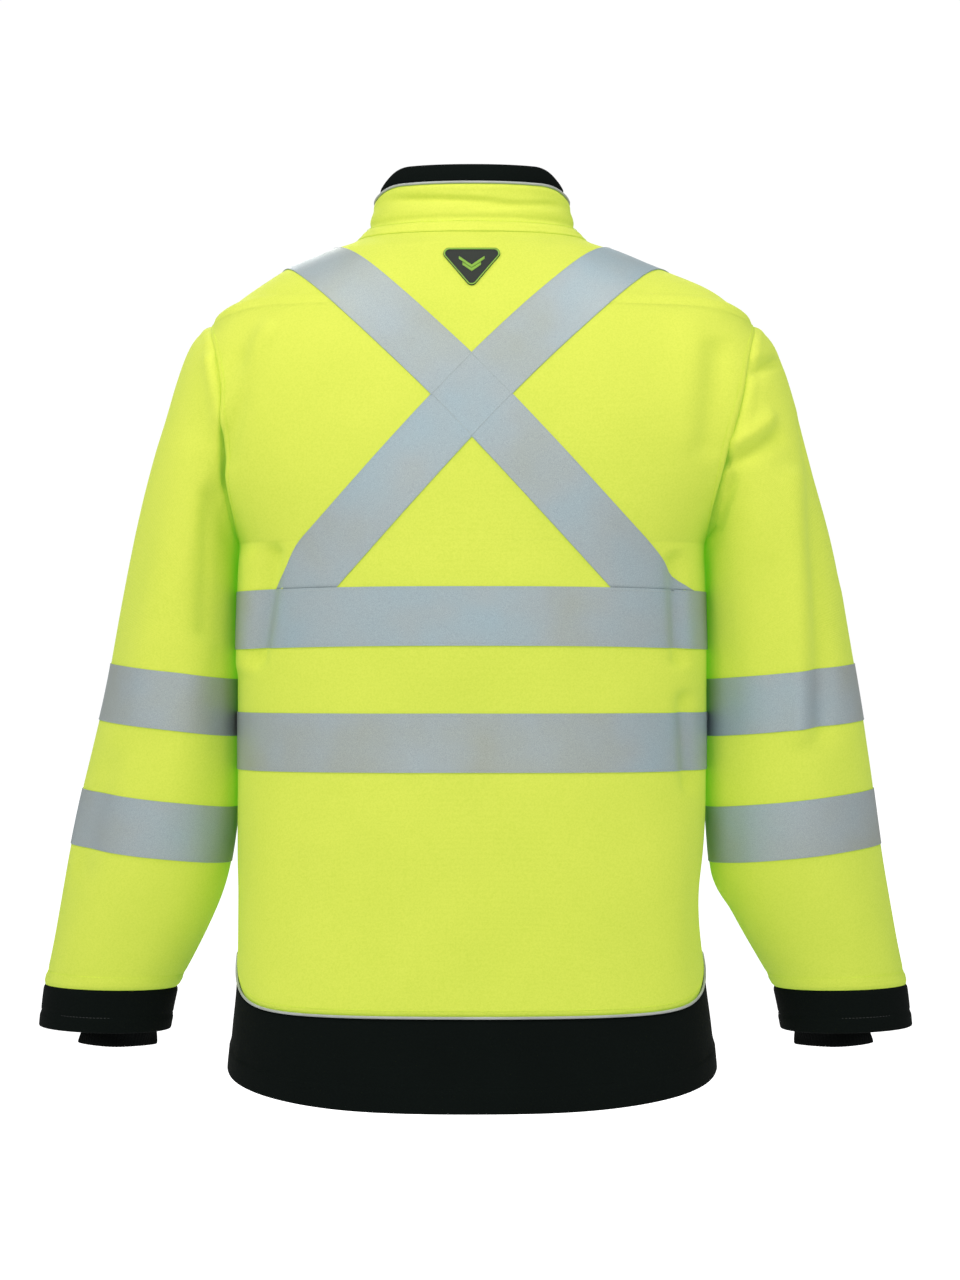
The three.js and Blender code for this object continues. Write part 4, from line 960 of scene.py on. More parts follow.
@dataclass
class BodyPanels:
    """The lime back and fronts, the black hem panels with their piping, and the quilted lining."""

    body: CoatBody
    finishes: Finishes
    thickness: float = 2.6
    lining_depth: float = 10.2
    lining_thickness: float = 1.4
    piping_radius: float = 1.2

    def build(self) -> dict[Panel, PanelGrid]:
        """Builds every piece of the body and returns the panels' grids."""
        columns = {panel: 118 if panel is Panel.BACK else 58 for panel in Panel}
        grids = {panel: PanelGrid(self.body, panel, columns[panel]).build() for panel in Panel}
        for panel, grid in grids.items():
            node = "back_panel" if panel is Panel.BACK else f"front_panel_{panel.value}"
            made = cloth(f"{node}_cloth", grid.surface(), self.thickness, self.finishes.lime)
            settle(made, "coat", [node])
            log.info("%s: %d faces", made.name, len(made.data.polygons))
        self.hem(Panel.BACK, 118)
        self.hem(Panel.LEFT, 58)
        self.hem(Panel.RIGHT, 58)
        self.seam_stitches(grids)
        for panel in Panel:
            self.lining(panel)
        return grids

    def hem(self, panel: Panel, columns: int) -> None:
        """Builds a black hem panel, its fold, its stitching and the piping above it."""
        b = self.body
        base = np.array([2.0])
        first, last = b.ends(base, panel)
        angle = b.spread(base, first, last, columns)[0]
        low, high = b.hem(angle), b.pipe(angle) - 0.3
        up = marks(np.array([80.0]), 22)[0] / 80.0
        rows = np.array([20.0, 21.2, 22.4]) / 80.0
        up = np.unique(np.concatenate([up, rows]))[:, None]
        z = low + (high - low) * up
        rings, angles = b.ring_of(z), np.repeat(angle[None], len(up), 0)
        p = b.point(rings, angles)
        across, rise = run_lengths(p, 1), run_lengths(p, 0)
        dip = seam_dip([across, across[:, -1:] - across, rise[-1:] - rise], b.seam_depth, b.seam_width)
        fold = 1.1 * smooth((23 - rise) / 3) - 0.9 * np.exp(-(((rise - 20) / 1.3) ** 2))
        pucker = 0.35 * np.sin(across / 5.1 + np.sin(across / 37)) * np.exp(-(((rise - 20) / 7) ** 2))
        grid = b.place(rings, angles, dip + fold + pucker)[0]
        where = {Panel.BACK: "back", Panel.LEFT: "front_left", Panel.RIGHT: "front_right"}[panel]
        made = cloth(f"hem_{where}_cloth", grid, 3.2, self.finishes.black)
        settle(made, "coat", [f"hem_panel_{where}"])
        pipe_line = b.place(b.ring_of(b.pipe(angle)), angle, 0.55)[0]
        piping = tube(f"hem_piping_{where}_cord", pipe_line[1:-1], self.piping_radius, self.finishes.piping)
        settle(piping, "coat", [f"hem_piping_{where}"])
        line_z = b.hem(angle) + 20.0 + 0.0 * angle
        line = b.place(b.ring_of(line_z), angle, -0.75)
        thread = stitches(f"hem_stitching_{where}", [(line[0][2:-2], line[1][2:-2])],
            self.finishes.black_thread)
        settle(thread, "coat", [])

    def seam_stitches(self, grids: dict[Panel, PanelGrid]) -> None:
        """Sews the topstitching beside the armholes and front edges, and above the hem piping."""
        lines = []
        for panel, grid in grids.items():
            armhole = (grid.first_armhole, grid.last_armhole + 2)
            body_rows = (3, len(grid.rings) - 2)
            if panel is Panel.BACK:
                lines += [grid.edge_line(last, 6.5, *armhole) for last in (False, True)]
            else:
                left = panel is Panel.LEFT
                lines.append(grid.edge_line(left, 6.5, *armhole))
                lines.append(grid.edge_line(not left, 5.5, *body_rows))
            inner = slice(4, -4)
            p, n = self.body.place(self.body.ring_of(self.body.pipe(grid.angles[0]) + 6.0), grid.angles[0],
                0.1)
            lines.append((p[inner], n[inner]))
        made = stitches("seam_stitching", lines, self.finishes.lime_thread)
        settle(made, "coat", [])

    def lining(self, panel: Panel) -> None:
        """Builds the quilted lining behind a panel."""
        grid = PanelGrid(self.body, panel, 96 if panel is Panel.BACK else 46, 84, 44, 30).build()
        rings = np.minimum(grid.rings, self.body.neck_ring - 0.9)
        angles = grid.angles
        if panel is not Panel.BACK:
            first, last = self.body.ends(rings[:, 0], panel)
            edge = self.body.frontal(rings[:, 0],
                np.full(len(rings), 33.0 if panel is Panel.LEFT else -33.0), False)
            first, last = (edge, last) if panel is Panel.LEFT else (first, edge)
            angles = self.body.spread(rings[:, 0], first, last, 44)
            rings = np.repeat(rings[:, :1], angles.shape[1], 1)
        p = self.body.point(rings, angles)
        u, v = run_lengths(p, 1), run_lengths(p, 0)
        cell = 52.0
        one, two = np.abs(np.sin(np.pi * (u + v) / cell)), np.abs(np.sin(np.pi * (u - v) / cell))
        quilt = 1.7 * np.minimum(one, two) ** 0.45
        points = hang(p + self.body.normal(rings, angles) * (quilt - 1.0 - self.lining_depth)[..., None])
        where = "back" if panel is Panel.BACK else f"front_{panel.value}"
        made = cloth(f"lining_{where}_cloth", points, self.lining_thickness, self.finishes.quilt, rim=1)
        settle(made, "coat", [f"lining_{where}"])


def settle(made: Piece, body: str | None, nodes: list[str]) -> Piece:
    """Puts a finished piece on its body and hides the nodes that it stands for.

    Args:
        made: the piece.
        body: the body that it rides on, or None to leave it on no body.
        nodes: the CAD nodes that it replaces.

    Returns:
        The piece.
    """
    if body:
        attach(made, body)
    if nodes:
        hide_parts(*nodes)
    return made


# ---- Reflective tape -----------------------------------------------------------------------------
@dataclass
class TapeSet:
    """The silver tapes on the body: two level bands, and two braces that cross on the back."""

    body: CoatBody
    finishes: Finishes
    width: float = 50.8
    upper: float = 314.0
    lower: float = 423.0
    cross: float = 149.0
    foot_x: float = 149.0
    shoulder_x: float = 155.0
    chest_x: float = 131.0
    lift: float = 0.8
    thickness: float = 0.55
    stitch_in: float = 2.2

    def build(self) -> None:
        """Builds the tapes and their stitching."""
        self.lines: list[tuple[Array, Array]] = []
        for rank, top in (("upper", self.upper), ("lower", self.lower)):
            for panel in Panel:
                self.band(rank, top, panel)
        for side in Side:
            self.back_brace(side)
            self.front_brace(side)
        made = stitches("tape_stitching", self.lines, self.finishes.tape_thread, radius=0.26)
        settle(made, "coat", [])

    def band(self, rank: str, top: float, panel: Panel) -> None:
        """Builds one level band on one panel."""
        b = self.body
        z = -top - self.width + marks(np.array([self.width]), 9, (0.0, 0.1, 0.7, 2.2))[0]
        t = b.ring_of(z)
        first, last = b.ends(t, panel)
        angles = b.spread(t, first, last, 150 if panel is Panel.BACK else 72)
        rings = np.repeat(t[:, None], angles.shape[1], 1)
        across = run_lengths(b.point(rings, angles), 1)
        dip = seam_dip([across, across[:, -1:] - across], b.seam_depth, b.seam_width)
        points = b.place(rings, angles, dip + self.lift)[0]
        points[..., 2] -= self.sag(points[..., 0], rank)
        where = "back" if panel is Panel.BACK else f"front_{panel.value}"
        made = cloth(f"tape_{rank}_{where}_film", points, self.thickness, self.finishes.tape, rim=0)
        settle(made, "coat", [f"tape_{rank}_{where}"])
        for level in (-top - self.stitch_in, -top - self.width + self.stitch_in):
            ring = np.full(angles.shape[1], float(b.ring_of(level)))
            p, n = b.place(ring, angles[len(z) // 2], self.lift - 0.05)
            p[..., 2] -= self.sag(p[..., 0], rank)
            self.lines.append((p[4:-4], n[4:-4]))

    def sag(self, x: Array, rank: str) -> Array:
        """How far a level band droops towards the side seams."""
        return (3.5 if rank == "upper" else 0.8) * (np.abs(x) / 209) ** 2.5

    def unroll(self, behind: bool) -> tuple[Array, Array, Array, Array]:
        """A table from (x, distance up the slice at x from the crossing's height) to ring numbers."""
        b = self.body
        xs = np.linspace(0.5, 232, 240)
        low = float(b.ring_of(-330.0))
        over = b.level >= b.tip_ring
        v = np.linspace(-220, 330, 1100)
        rows, tops = [], []
        for x in xs:
            end = float(np.interp(-x, -b.table[over, 1], b.level[over]))
            t = low + (end - low) * (1 - (1 - np.linspace(0, 1, 560)) ** 3)
            use = t[b.ring(t, np.full(t.shape, behind))[2] >= x]
            p = b.point(use, b.frontal(use, np.full(use.shape, x), behind))
            run = run_lengths(p[None], 1)[0]
            zero = np.interp(-self.cross, p[:, 2], run)
            rows.append(np.interp(v, run - zero, use))
            tops.append(run[-1] - zero)
        return xs, v, np.array(rows), np.array(tops)

    def read_table(self, table: tuple, x: Array, v: Array) -> Array:
        """Ring numbers at (x, v) from the unrolled table."""
        xs, vs, rows, _ = table
        i = np.clip((np.abs(x) - xs[0]) / (xs[1] - xs[0]), 0, len(xs) - 1.001)
        j = np.clip((v - vs[0]) / (vs[1] - vs[0]), 0, len(vs) - 1.001)
        a, b = i.astype(int), j.astype(int)
        f, g = i - a, j - b
        low = rows[a, b] * (1 - g) + rows[a, b + 1] * g
        high = rows[a + 1, b] * (1 - g) + rows[a + 1, b + 1] * g
        return low * (1 - f) + high * f

    def back_brace(self, side: Side) -> None:
        """Builds the brace that runs from the far foot over the crossing to this side's shoulder."""
        b, s = self.body, side.value
        table = self.unroll(True)
        foot_v = self.cross - self.upper + 0.25
        top_v = float(np.interp(self.shoulder_x, table[0], table[3]))
        foot_x = self.foot_x + (4 if side is Side.LEFT else 0)
        turn = 0.63 * top_v
        knots = np.array([[-2 * foot_x, 2 * foot_v], [-foot_x, foot_v], [0, 0], [0.975 * turn, turn],
            [self.shoulder_x, top_v], [self.shoulder_x + 34, top_v + 70]])
        path = read_along(knots, np.linspace(0.6, 5, 1800)) * np.array([s, 1.0])
        along = unit(np.gradient(path, axis=0))
        offsets = marks(np.array([self.width]), 9, (0.0, 0.1, 0.7, 2.2))[0] - self.width / 2
        columns = []
        for w in offsets:
            line = path + w * np.stack([along[:, 1], -along[:, 0]], -1)
            outer = smooth((-w * s - 8) / (self.width / 2 - 8)) * (13.0 if side is Side.RIGHT else 5.0)
            line[:, 0] += s * outer * smooth((foot_v + 42 - line[:, 1]) / 42)
            height = np.interp(self.read_table(table, line[:, 0], line[:, 1]), b.level, b.heights)
            floor = -self.upper - self.sag(line[:, 0], "upper") - 1.2
            top = np.interp(np.abs(line[:, 0]), table[0], table[3]) - 0.9
            inside = np.nonzero((height > floor) & (line[:, 1] > foot_v - 14)
                & ((line[:, 1] < top) | (line[:, 0] * s < 60)))[0]
            reach = np.linspace(inside[0], inside[-1], 120)
            columns.append(np.stack([np.interp(reach, np.arange(len(line)), line[:, k]) for k in (0, 1)], -1))
        flat = np.stack(columns, 1)
        x, v = flat[..., 0], flat[..., 1]
        log.info("brace %s: shoulder seam at %.0f mm up the back from the crossing", side.word, top_v)
        t = self.read_table(table, x, v)
        a = b.frontal(t, x, True)
        lift = self.lift + (0.03 if side is Side.RIGHT else 0.0)
        under = 0.5 * smooth((-self.upper - self.sag(x, "upper") - 0.2
            - np.interp(t, b.level, b.heights)) / 0.7)
        points, n = b.place(t, a, lift - under)
        made = cloth(f"brace_tape_back_{side.word}_film", points, self.thickness, self.finishes.tape, rim=0,
            flip=True)
        settle(made, "coat", [f"brace_tape_back_{side.word}"])
        for column in (2, -3):
            self.lines.append((points[2:-2, column], n[2:-2, column]))

    def front_brace(self, side: Side) -> None:
        """Builds the brace down one side of the chest, from the shoulder seam to the upper band."""
        b, s = self.body, side.value
        table = self.unroll(False)
        foot_v = self.cross - self.upper + 0.25
        spread = self.shoulder_x - self.chest_x
        centre = lambda v, top: self.chest_x + spread * smooth((v - foot_v) / (top - foot_v))
        top_v = float(np.interp(self.shoulder_x, table[0], table[3]))
        offsets = marks(np.array([self.width]), 9, (0.0, 0.1, 0.7, 2.2))[0] - self.width / 2
        columns = []
        for w in offsets:
            reach = np.linspace(foot_v, top_v + 60, 2400)
            x = centre(reach, top_v) + w
            over = np.nonzero(reach >= np.interp(x, table[0], table[3]) - 0.9)[0]
            stop = reach[over[0]] if len(over) else reach[-1]
            f = foot_v + (stop - foot_v) * np.linspace(0, 1, 90)
            columns.append(np.stack([centre(f, top_v) + w, f], -1))
        flat = np.stack(columns, 1)
        x, v = s * flat[..., 0], flat[..., 1]
        t = self.read_table(table, x, v)
        points, n = b.place(t, b.frontal(t, x, False), self.lift)
        made = cloth(f"brace_tape_front_{side.word}_film", points, self.thickness, self.finishes.tape,
            rim=0, flip=side is Side.RIGHT)
        settle(made, "coat", [f"brace_tape_front_{side.word}"])
        f"front_panel_{side.word}_cloth"
        for column in (2, -3):
            self.lines.append((points[2:-2, column], n[2:-2, column]))


# ---- Sleeves -------------------------------------------------------------------------------------
@dataclass
class Sleeve:
    """One set-in sleeve with its tapes, outer cuff and knitted inner cuff."""

    side: Side
    finishes: Finishes
    creases: list[Crease]
    tip: float = 241.0
    tip_drop: float = 68.0
    under: float = 275.0
    chest: float = 209.0
    drop: float = 603.0
    wrist_out: float = 150.0
    wrist: float = 120.0
    wrist_depth: float = 48.0
    armhole_half: float = 91.6
    armhole_shift: float = -3.0
    gap: float = 3.3
    tape_width: float = 50.8
    tape_tops: tuple[float, float] = (381.0, 493.0)
    tape_tilt: float = 6.5
    elbow: Triple = (270.4, -5.7, -360.0)
    fold_reach: float = 95.0
    cuff_height: float = 37.0
    knit_size: tuple[float, float] = (36.0, 28.0)
    knit_shift: float = 13.0
    knit_out: float = 15.5
    band: float = 12.0

    def __post_init__(self) -> None:
        """Lays out the sleeve's rings."""
        g, h, a = self.gap, self.armhole_half, self.armhole_shift
        inside = self.tip + self.wrist_out - self.wrist - self.chest
        self.rings = np.array([
            [0, 0, 0, -1, h, a],
            [0.0265, 0.038, 15, 2.5, h, a],
            [0.095, 0.087, 32, g, h - 1, a],
            [0.2, 0.143, 50, g, h - 3, a + 1],
            [0.33, 0.215, 69.5, g, h - 6, 2],
            [0.48, 0.304, 88.5, g + 0.2, h - 9, 6],
            [0.68, 0.583, 112, g + 0.7, h - 14, 12],
            [0.84, 0.777, 129.5, g + 13, self.wrist_depth + 19, 18],
            [1, 1, self.wrist_out, inside, self.wrist_depth, 26],
        ], float)
        self.end = len(self.rings) - 1

    def ring(self, t: Array) -> tuple[Array, Array, Array, Array]:
        """Outer point, inner point, half depth and forward shift of rings t; straight on past the last."""
        over = np.maximum(0, t - self.end)
        f, g, out, gap, depth, forward = np.moveaxis(read_along(self.rings, np.minimum(t, self.end)), -1, 0)
        zero = np.zeros_like(f)
        outer = np.stack([self.tip + out + 0.09 * over, zero, -self.tip_drop - f * self.drop - over], -1)
        inner_z = -self.under - g * (self.tip_drop + self.drop + 3 - self.under) - over
        inner = np.stack([self.chest + gap + 0.19 * over, zero, inner_z], -1)
        return outer, inner, depth, forward

    def point(self, t: Array, a: Array, squeeze: tuple[float, float] = (1.0, 1.0),
            shift: float = 0.0) -> Array:
        """Points of the bare left sleeve: ring t, angle a from its outside, positive to the back."""
        t, a = np.broadcast_arrays(np.asarray(t, float), np.asarray(a, float))
        outer, inner, depth, forward = self.ring(t)
        p = (outer + inner) / 2 + (outer - inner) / 2 * squeeze[0] * np.cos(a)[..., None]
        p[..., 0] -= shift
        p[..., 1] += np.sin(a) * depth * squeeze[1] - forward
        return p

    def normal(self, t: Array, a: Array, *shape: object) -> Array:
        """Outward unit normals of the bare left sleeve."""
        along = self.point(t + 0.02, a, *shape) - self.point(np.maximum(t - 0.02, 0), a, *shape)
        round_ = self.point(t, a + 0.01, *shape) - self.point(t, a - 0.01, *shape)
        return unit(np.cross(along, round_))

    def drape(self, p: Array, a: Array, t: Array) -> Array:
        """How far the sleeve's cloth stands off its bare surface."""
        x, y, z = np.moveaxis(p, -1, 0)
        free = smooth((np.cos(a) + 1.0) / 0.9)
        wave = 1.1 * np.sin(3 * a + z / 60 + 1.0) * np.sin(z / 83) + 0.7 * np.sin(5 * a - z / 41)
        wave += 0.8 * np.sin(2 * a + 0.7) * np.sin(z / 37 + 2.2)
        lift = wave * free * smooth((t - 0.1) / 0.9) * smooth((self.end - t) / 0.6)
        inner = smooth((-np.cos(a) - 0.7) / 0.2)
        lift = lift + 2.1 * inner * smooth((-z - 262) / 26) * smooth((z + 560) / 60)
        for crease in self.creases:
            lift = lift + crease.lift(x * self.side.value, z) * smooth((y if crease.back else -y) / 22)
        return lift

    def place(self, t: Array, a: Array, lift: float | Array = 0.0) -> tuple[Array, Array]:
        """Draped points and normals on this side's sleeve."""
        p, n = self.point(t, a), self.normal(t, a)
        p = p + n * (self.drape(p, a, t) + lift)[..., None]
        return hang(self.mirror(p)), self.mirror(n)

    def mirror(self, p: Array) -> Array:
        """Moves points from the left sleeve to this one."""
        return p * np.array([self.side.value, 1.0, 1.0])

    def finish_piece(self, made: Piece, nodes: list[str], bends: bool) -> Piece:
        """Bakes a piece's placement in and leaves it on no body, or rides it on the forearm."""
        word = self.side.word
        settle(made, None if bends else f"forearm_{word}", nodes)
        if bends:
            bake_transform(made)
        return made

    def build(self) -> None:
        """Builds the sleeve and everything sewn to it."""
        word = self.side.word
        flip = self.side is Side.LEFT
        columns = 112
        a = np.arange(columns) * TAU / columns
        close = np.array([0, 0.012, 0.028, 0.05, 0.085])
        even = np.linspace(0.085, self.end - 0.13, 138)[1:]
        tail = self.end - np.array([0.115, 0.1, 0.085, 0.06, 0.035, 0.018, 0.006, 0])
        t = np.concatenate([close, even, tail])[:, None] + 0 * a
        angle = np.repeat(a[None], len(t), 0)
        run = run_lengths(self.point(t, angle), 0)
        rest = run[-1:] - run
        low = smooth((-self.point(t, angle)[..., 2] - 120) / 60)
        lift = seam_dip([run], 1.0, 2.2) + (1.4 - 0.9 * low) * np.exp(-(((run - 8) / 6) ** 2))
        lift += 0.8 * smooth((self.band + 1.0 - rest) / 2) - 0.8 * np.exp(-(((rest - self.band) / 1.1) ** 2))
        lift += seam_dip([rest], 1.0, 1.8)
        puckers = 0.5 * np.sin(angle * 41 + np.sin(angle * 7)) * np.exp(-(((run - 7) / 7) ** 2))
        points = self.place(t, angle, lift + puckers)[0]
        middle = points[0].mean(0)
        turned = [middle + (points[0] - middle) * grow + np.array([-self.side.value * inward, 0, 0])
            for grow, inward in ((0.925, 9.0), (0.94, 6.5), (0.958, 4.0), (0.975, 2.0))]
        points = np.concatenate([np.stack(turned), points])
        made = cloth(f"sleeve_{word}_cloth", points, 2.6, self.finishes.lime, wrap=True, flip=flip)
        self.finish_piece(made, [f"sleeve_{word}_upper", f"sleeve_{word}_lower"], True)
        lines: list[tuple[Array, Array]] = []
        for k, top in enumerate(self.tape_tops):
            self.tape(k, top, lines)
        thread = stitches(f"sleeve_tape_stitching_{word}", lines, self.finishes.tape_thread, radius=0.26)
        self.finish_piece(thread, [], True)
        loop = np.linspace(0, TAU, 200)
        last = float(np.interp(self.band, run[-1, 0] - run[::-1, 0], t[::-1, 0]))
        hem_line = self.place(np.full(200, last), loop, -0.3)
        thread = stitches(f"sleeve_end_stitching_{word}", [hem_line], self.finishes.lime_thread)
        self.finish_piece(thread, [], False)
        self.cuffs(flip)
        log.info("sleeve %s: %d rings of %d points", word, *angle.shape)

    def tape(self, rank: int, top: float, lines: list[tuple[Array, Array]]) -> None:
        """Builds one tape round the sleeve, tilted so that it drops towards the body."""
        word, columns = self.side.word, 120
        a = np.arange(columns) * TAU / columns
        slope = math.tan(math.radians(self.tape_tilt))
        dense = np.linspace(2.0, self.end, 900)
        line = self.point(dense[:, None], a[None])
        outer_x = float(np.interp(-top, line[::-1, 0, 2], line[::-1, 0, 0]))
        height = line[..., 2] + (outer_x - line[..., 0]) * slope
        drops = marks(np.array([self.tape_width]), 9, (0.0, 0.1, 0.7, 2.2))[0]
        drops = drops / math.cos(math.radians(self.tape_tilt))
        rings = np.stack([np.interp(top + drops, -height[:, k], dense) for k in range(columns)], 1)
        angle = np.repeat(a[None], len(drops), 0)
        points, _ = self.place(rings, angle, 0.8)
        name = f"sleeve_tape_{word}_{'lower' if rank else 'upper'}"
        made = cloth(f"{name}_film", points, 0.55, self.finishes.tape, wrap=True, rim=0,
            flip=self.side is Side.LEFT)
        self.finish_piece(made, [name], True)
        for row in (2, -3):
            p, n = self.place(rings[row], a, 0.75)
            lines.append((np.concatenate([p, p[:1]]), np.concatenate([n, n[:1]])))

    def cuffs(self, flip: bool) -> None:
        """Builds the black outer cuff and the ribbed knit cuff inside it."""
        word = self.side.word
        a = np.arange(112) * TAU / 112
        down = np.concatenate([[0.4, 1.2, 2.4, 4.0], np.linspace(4.0, self.cuff_height - 3, 16)[1:],
            self.cuff_height - np.array([2.0, 1.0, 0.0])])
        t = self.end + down[:, None] + 0 * a
        angle = np.repeat(a[None], len(down), 0)
        fall = down[:, None]
        lift = 0.9 + seam_dip([fall], 1.6, 2.0) + 0.5 * np.sin(3 * angle + 0.8) * smooth(fall / 20)
        lift = lift + 0.8 * smooth((fall - 24) / 3) - 0.8 * np.exp(-(((fall - 25) / 1.2) ** 2))
        p, n = self.point(t, angle), self.normal(t, angle)
        points = hang(self.mirror(p + n * lift[..., None]))
        made = cloth(f"cuff_{word}_cloth", points, 3.0, self.finishes.black, wrap=True, flip=flip)
        self.finish_piece(made, [f"cuff_{word}"], False)
        loop = np.linspace(0, TAU, 160)
        row = np.full(160, self.end + 25.0)
        p, n = self.point(row, loop), self.normal(row, loop)
        thread = stitches(f"cuff_stitching_{word}", [(hang(self.mirror(p + n * 0.35)), self.mirror(n))],
            self.finishes.black_thread)
        self.finish_piece(thread, [], False)

        ribs, columns = 66, 66 * 6
        a = np.arange(columns) * TAU / columns
        squeeze = (self.knit_size[0] / (self.wrist / 2), self.knit_size[1] / self.wrist_depth)
        t = np.concatenate([np.linspace(self.end - 0.6, self.end, 10)[:-1],
            self.end + np.linspace(0, self.cuff_height + self.knit_out, 18)])
        angle = np.repeat(a[None], len(t), 0)
        t = np.repeat(t[:, None], columns, 1)
        sewn = 1 - smooth((t - self.end + 0.6) / 0.5)
        wide = [part + (0.9 - part) * sewn for part in squeeze]
        shape = (wide[0][..., None], wide[1]), self.knit_shift * (1 - sewn)
        p, n = self.point(t, angle, *shape), self.normal(t, angle, *shape)
        rib = 0.65 * np.abs(np.sin(angle * ribs / 2)) ** 0.7 - 0.3
        sag = 1.3 * np.sin(t * 0.22 + 2 * np.sin(2 * angle)) * smooth((t - self.end) / 20)
        points = hang(self.mirror(p + n * (rib + sag)[..., None]))
        made = cloth(f"knit_cuff_{word}_cloth", points, 2.0, self.finishes.rib, wrap=True, flip=flip, rim=2)
        self.finish_piece(made, [f"knit_cuff_{word}"], False)


# ---- Collar --------------------------------------------------------------------------------------
@dataclass
class Collar:
    """The stand collar: lime shell, black facing rolled out behind, piping, hanger loop and blank label."""

    body: CoatBody
    finishes: Finishes
    back: float = 57.0
    side: float = 33.0
    front: float = 8.0
    roll: float = 15.0
    lean: float = 8.0
    piping: float = 1.2

    def top(self, a: Array) -> Array:
        """Height of the collar's top edge at angle a."""
        s = np.sin(a)
        behind = self.side + (self.back - self.side) * smooth(1.3 * s)
        return np.where(s >= 0, behind, self.side + (self.front - self.side) * -s)

    def lime_top(self, a: Array) -> Array:
        """Height of the lime shell's top edge."""
        return self.top(a) - self.roll * smooth(np.maximum(0, np.sin(a)) * 1.25)

    def place(self, a: Array, z: Array, offset: Array | float) -> Array:
        """Points of the collar at angle a and height z, offset outwards."""
        s, c = np.sin(a), np.cos(a)
        seam = self.body.point(np.full(np.shape(a), float(self.body.neck_ring)), a)[..., 2]
        rise = z - seam
        foot = self.body.neck_flare * np.exp(-np.maximum(rise, 0) / 8.0)
        lean = self.lean * np.clip(rise / 60, 0, 1) - foot
        depth = np.where(s > 0, self.body.neck_back - lean - 0.3 * foot, self.body.front_depth(z))
        bend = lambda v: np.sign(v) * np.abs(v) ** (2 / 2.2)
        x, y = (self.body.neck - lean) * bend(c), depth * bend(s)
        nx, ny = bend(c) / (self.body.neck - lean), bend(s) / depth
        size = np.hypot(nx, ny)
        return np.stack([x + offset * nx / size, y + offset * ny / size, z], -1)

    def around(self, columns: int, gap: float) -> Array:
        """Angles from the right front edge round the back to the left front edge."""
        edge = math.asin((gap / self.body.neck) ** 1.1)
        return np.linspace(-math.pi / 2 + edge, 1.5 * math.pi - edge, columns)

    def wrinkles(self, a: Array, rise: Array, whole: Array) -> Array:
        """The collar's soft level wrinkles and the padded ridge above its seam."""
        ridge = 1.5 * np.exp(-(((rise - 5) / 3.2) ** 2)) - 1.5 * np.exp(-(((rise - 11) / 3.0) ** 2))
        swell = 1.3 * np.exp(-(((rise - 19) / 6) ** 2))
        x = np.cos(a)
        high = -3.8 * np.exp(-(((rise - 27 - 5 * x) / 3.4) ** 2))
        low = -2.6 * np.exp(-(((rise - 21 + 7 * x) / 3.0) ** 2))
        fold = high * smooth((x + 0.55) / 0.5) * smooth((0.95 - x) / 0.4)
        fold += low * smooth((0.25 - x) / 0.6) * smooth((x + 1.0) / 0.3)
        edge = 0.9 * np.exp(-(((whole - rise - 4) / 3.5) ** 2))
        return (ridge + swell + fold + edge) * smooth(np.sin(a) + 1.1)

    def build(self) -> None:
        """Builds the collar's pieces."""
        b, seam_ring = self.body, float(self.body.neck_ring)
        a = self.around(190, b.zip_slot)
        seam = b.point(np.full(a.shape, seam_ring), a)[..., 2]
        low, high = seam - 0.8, self.lime_top(a) - 0.3
        f = np.concatenate([[0, 0.015, 0.035, 0.06], np.linspace(0.06, 0.97, 30)[1:], [0.985, 1.0]])[:, None]
        z = low + (high - low) * f
        angle = np.repeat(a[None], len(f), 0)
        lift = self.wrinkles(angle, z - seam, high - seam) + seam_dip([high - z], 0.9, 1.6)
        shell = cloth("collar_shell_cloth", self.place(angle, z, lift), 2.2, self.finishes.lime)
        settle(shell, "coat", ["collar_shell"])

        inner = self.around(180, 20.5)
        seam_in = b.point(np.full(inner.shape, seam_ring), inner)[..., 2]
        low, high = seam_in - 6, self.top(inner) - 1.2
        f = np.linspace(0, 1, 26)[:, None]
        z = low + (high - low) * f
        facing = self.place(np.repeat(inner[None], 26, 0), z, -4.2)
        made = cloth("collar_lining_cloth", facing, 2.2, self.finishes.black)
        settle(made, "coat", ["collar_lining"])

        start = 0.11 * math.pi
        r = np.linspace(start, math.pi - start, 130)
        low, high = self.lime_top(r) + 0.3, self.top(r)
        f = np.concatenate([[0, 0.04, 0.1], np.linspace(0.1, 1, 12)[1:]])[:, None]
        z = low + (high - low) * f
        lift = 0.7 * np.sin(math.pi * np.clip(f, 0, 1)) + seam_dip([z - low], 0.7, 1.4)
        made = cloth("collar_roll_cloth", self.place(np.repeat(r[None], len(f), 0), z, lift), 4.6,
            self.finishes.black)
        settle(made, "coat", ["collar_roll"])

        line = self.place(a, self.lime_top(a), 0.5)
        piping = tube("collar_piping_cord", line[1:-1], self.piping, self.finishes.piping)
        settle(piping, "coat", ["collar_piping"])
        n = unit(self.place(a, seam + 8, 1.0) - self.place(a, seam + 8, 0.0))
        rows = [(self.place(a, seam + 8.6, 0.35)[3:-3], n[3:-3])]
        thread = stitches("collar_stitching", rows, self.finishes.lime_thread)
        settle(thread, "coat", [])
        self.loop_and_label()

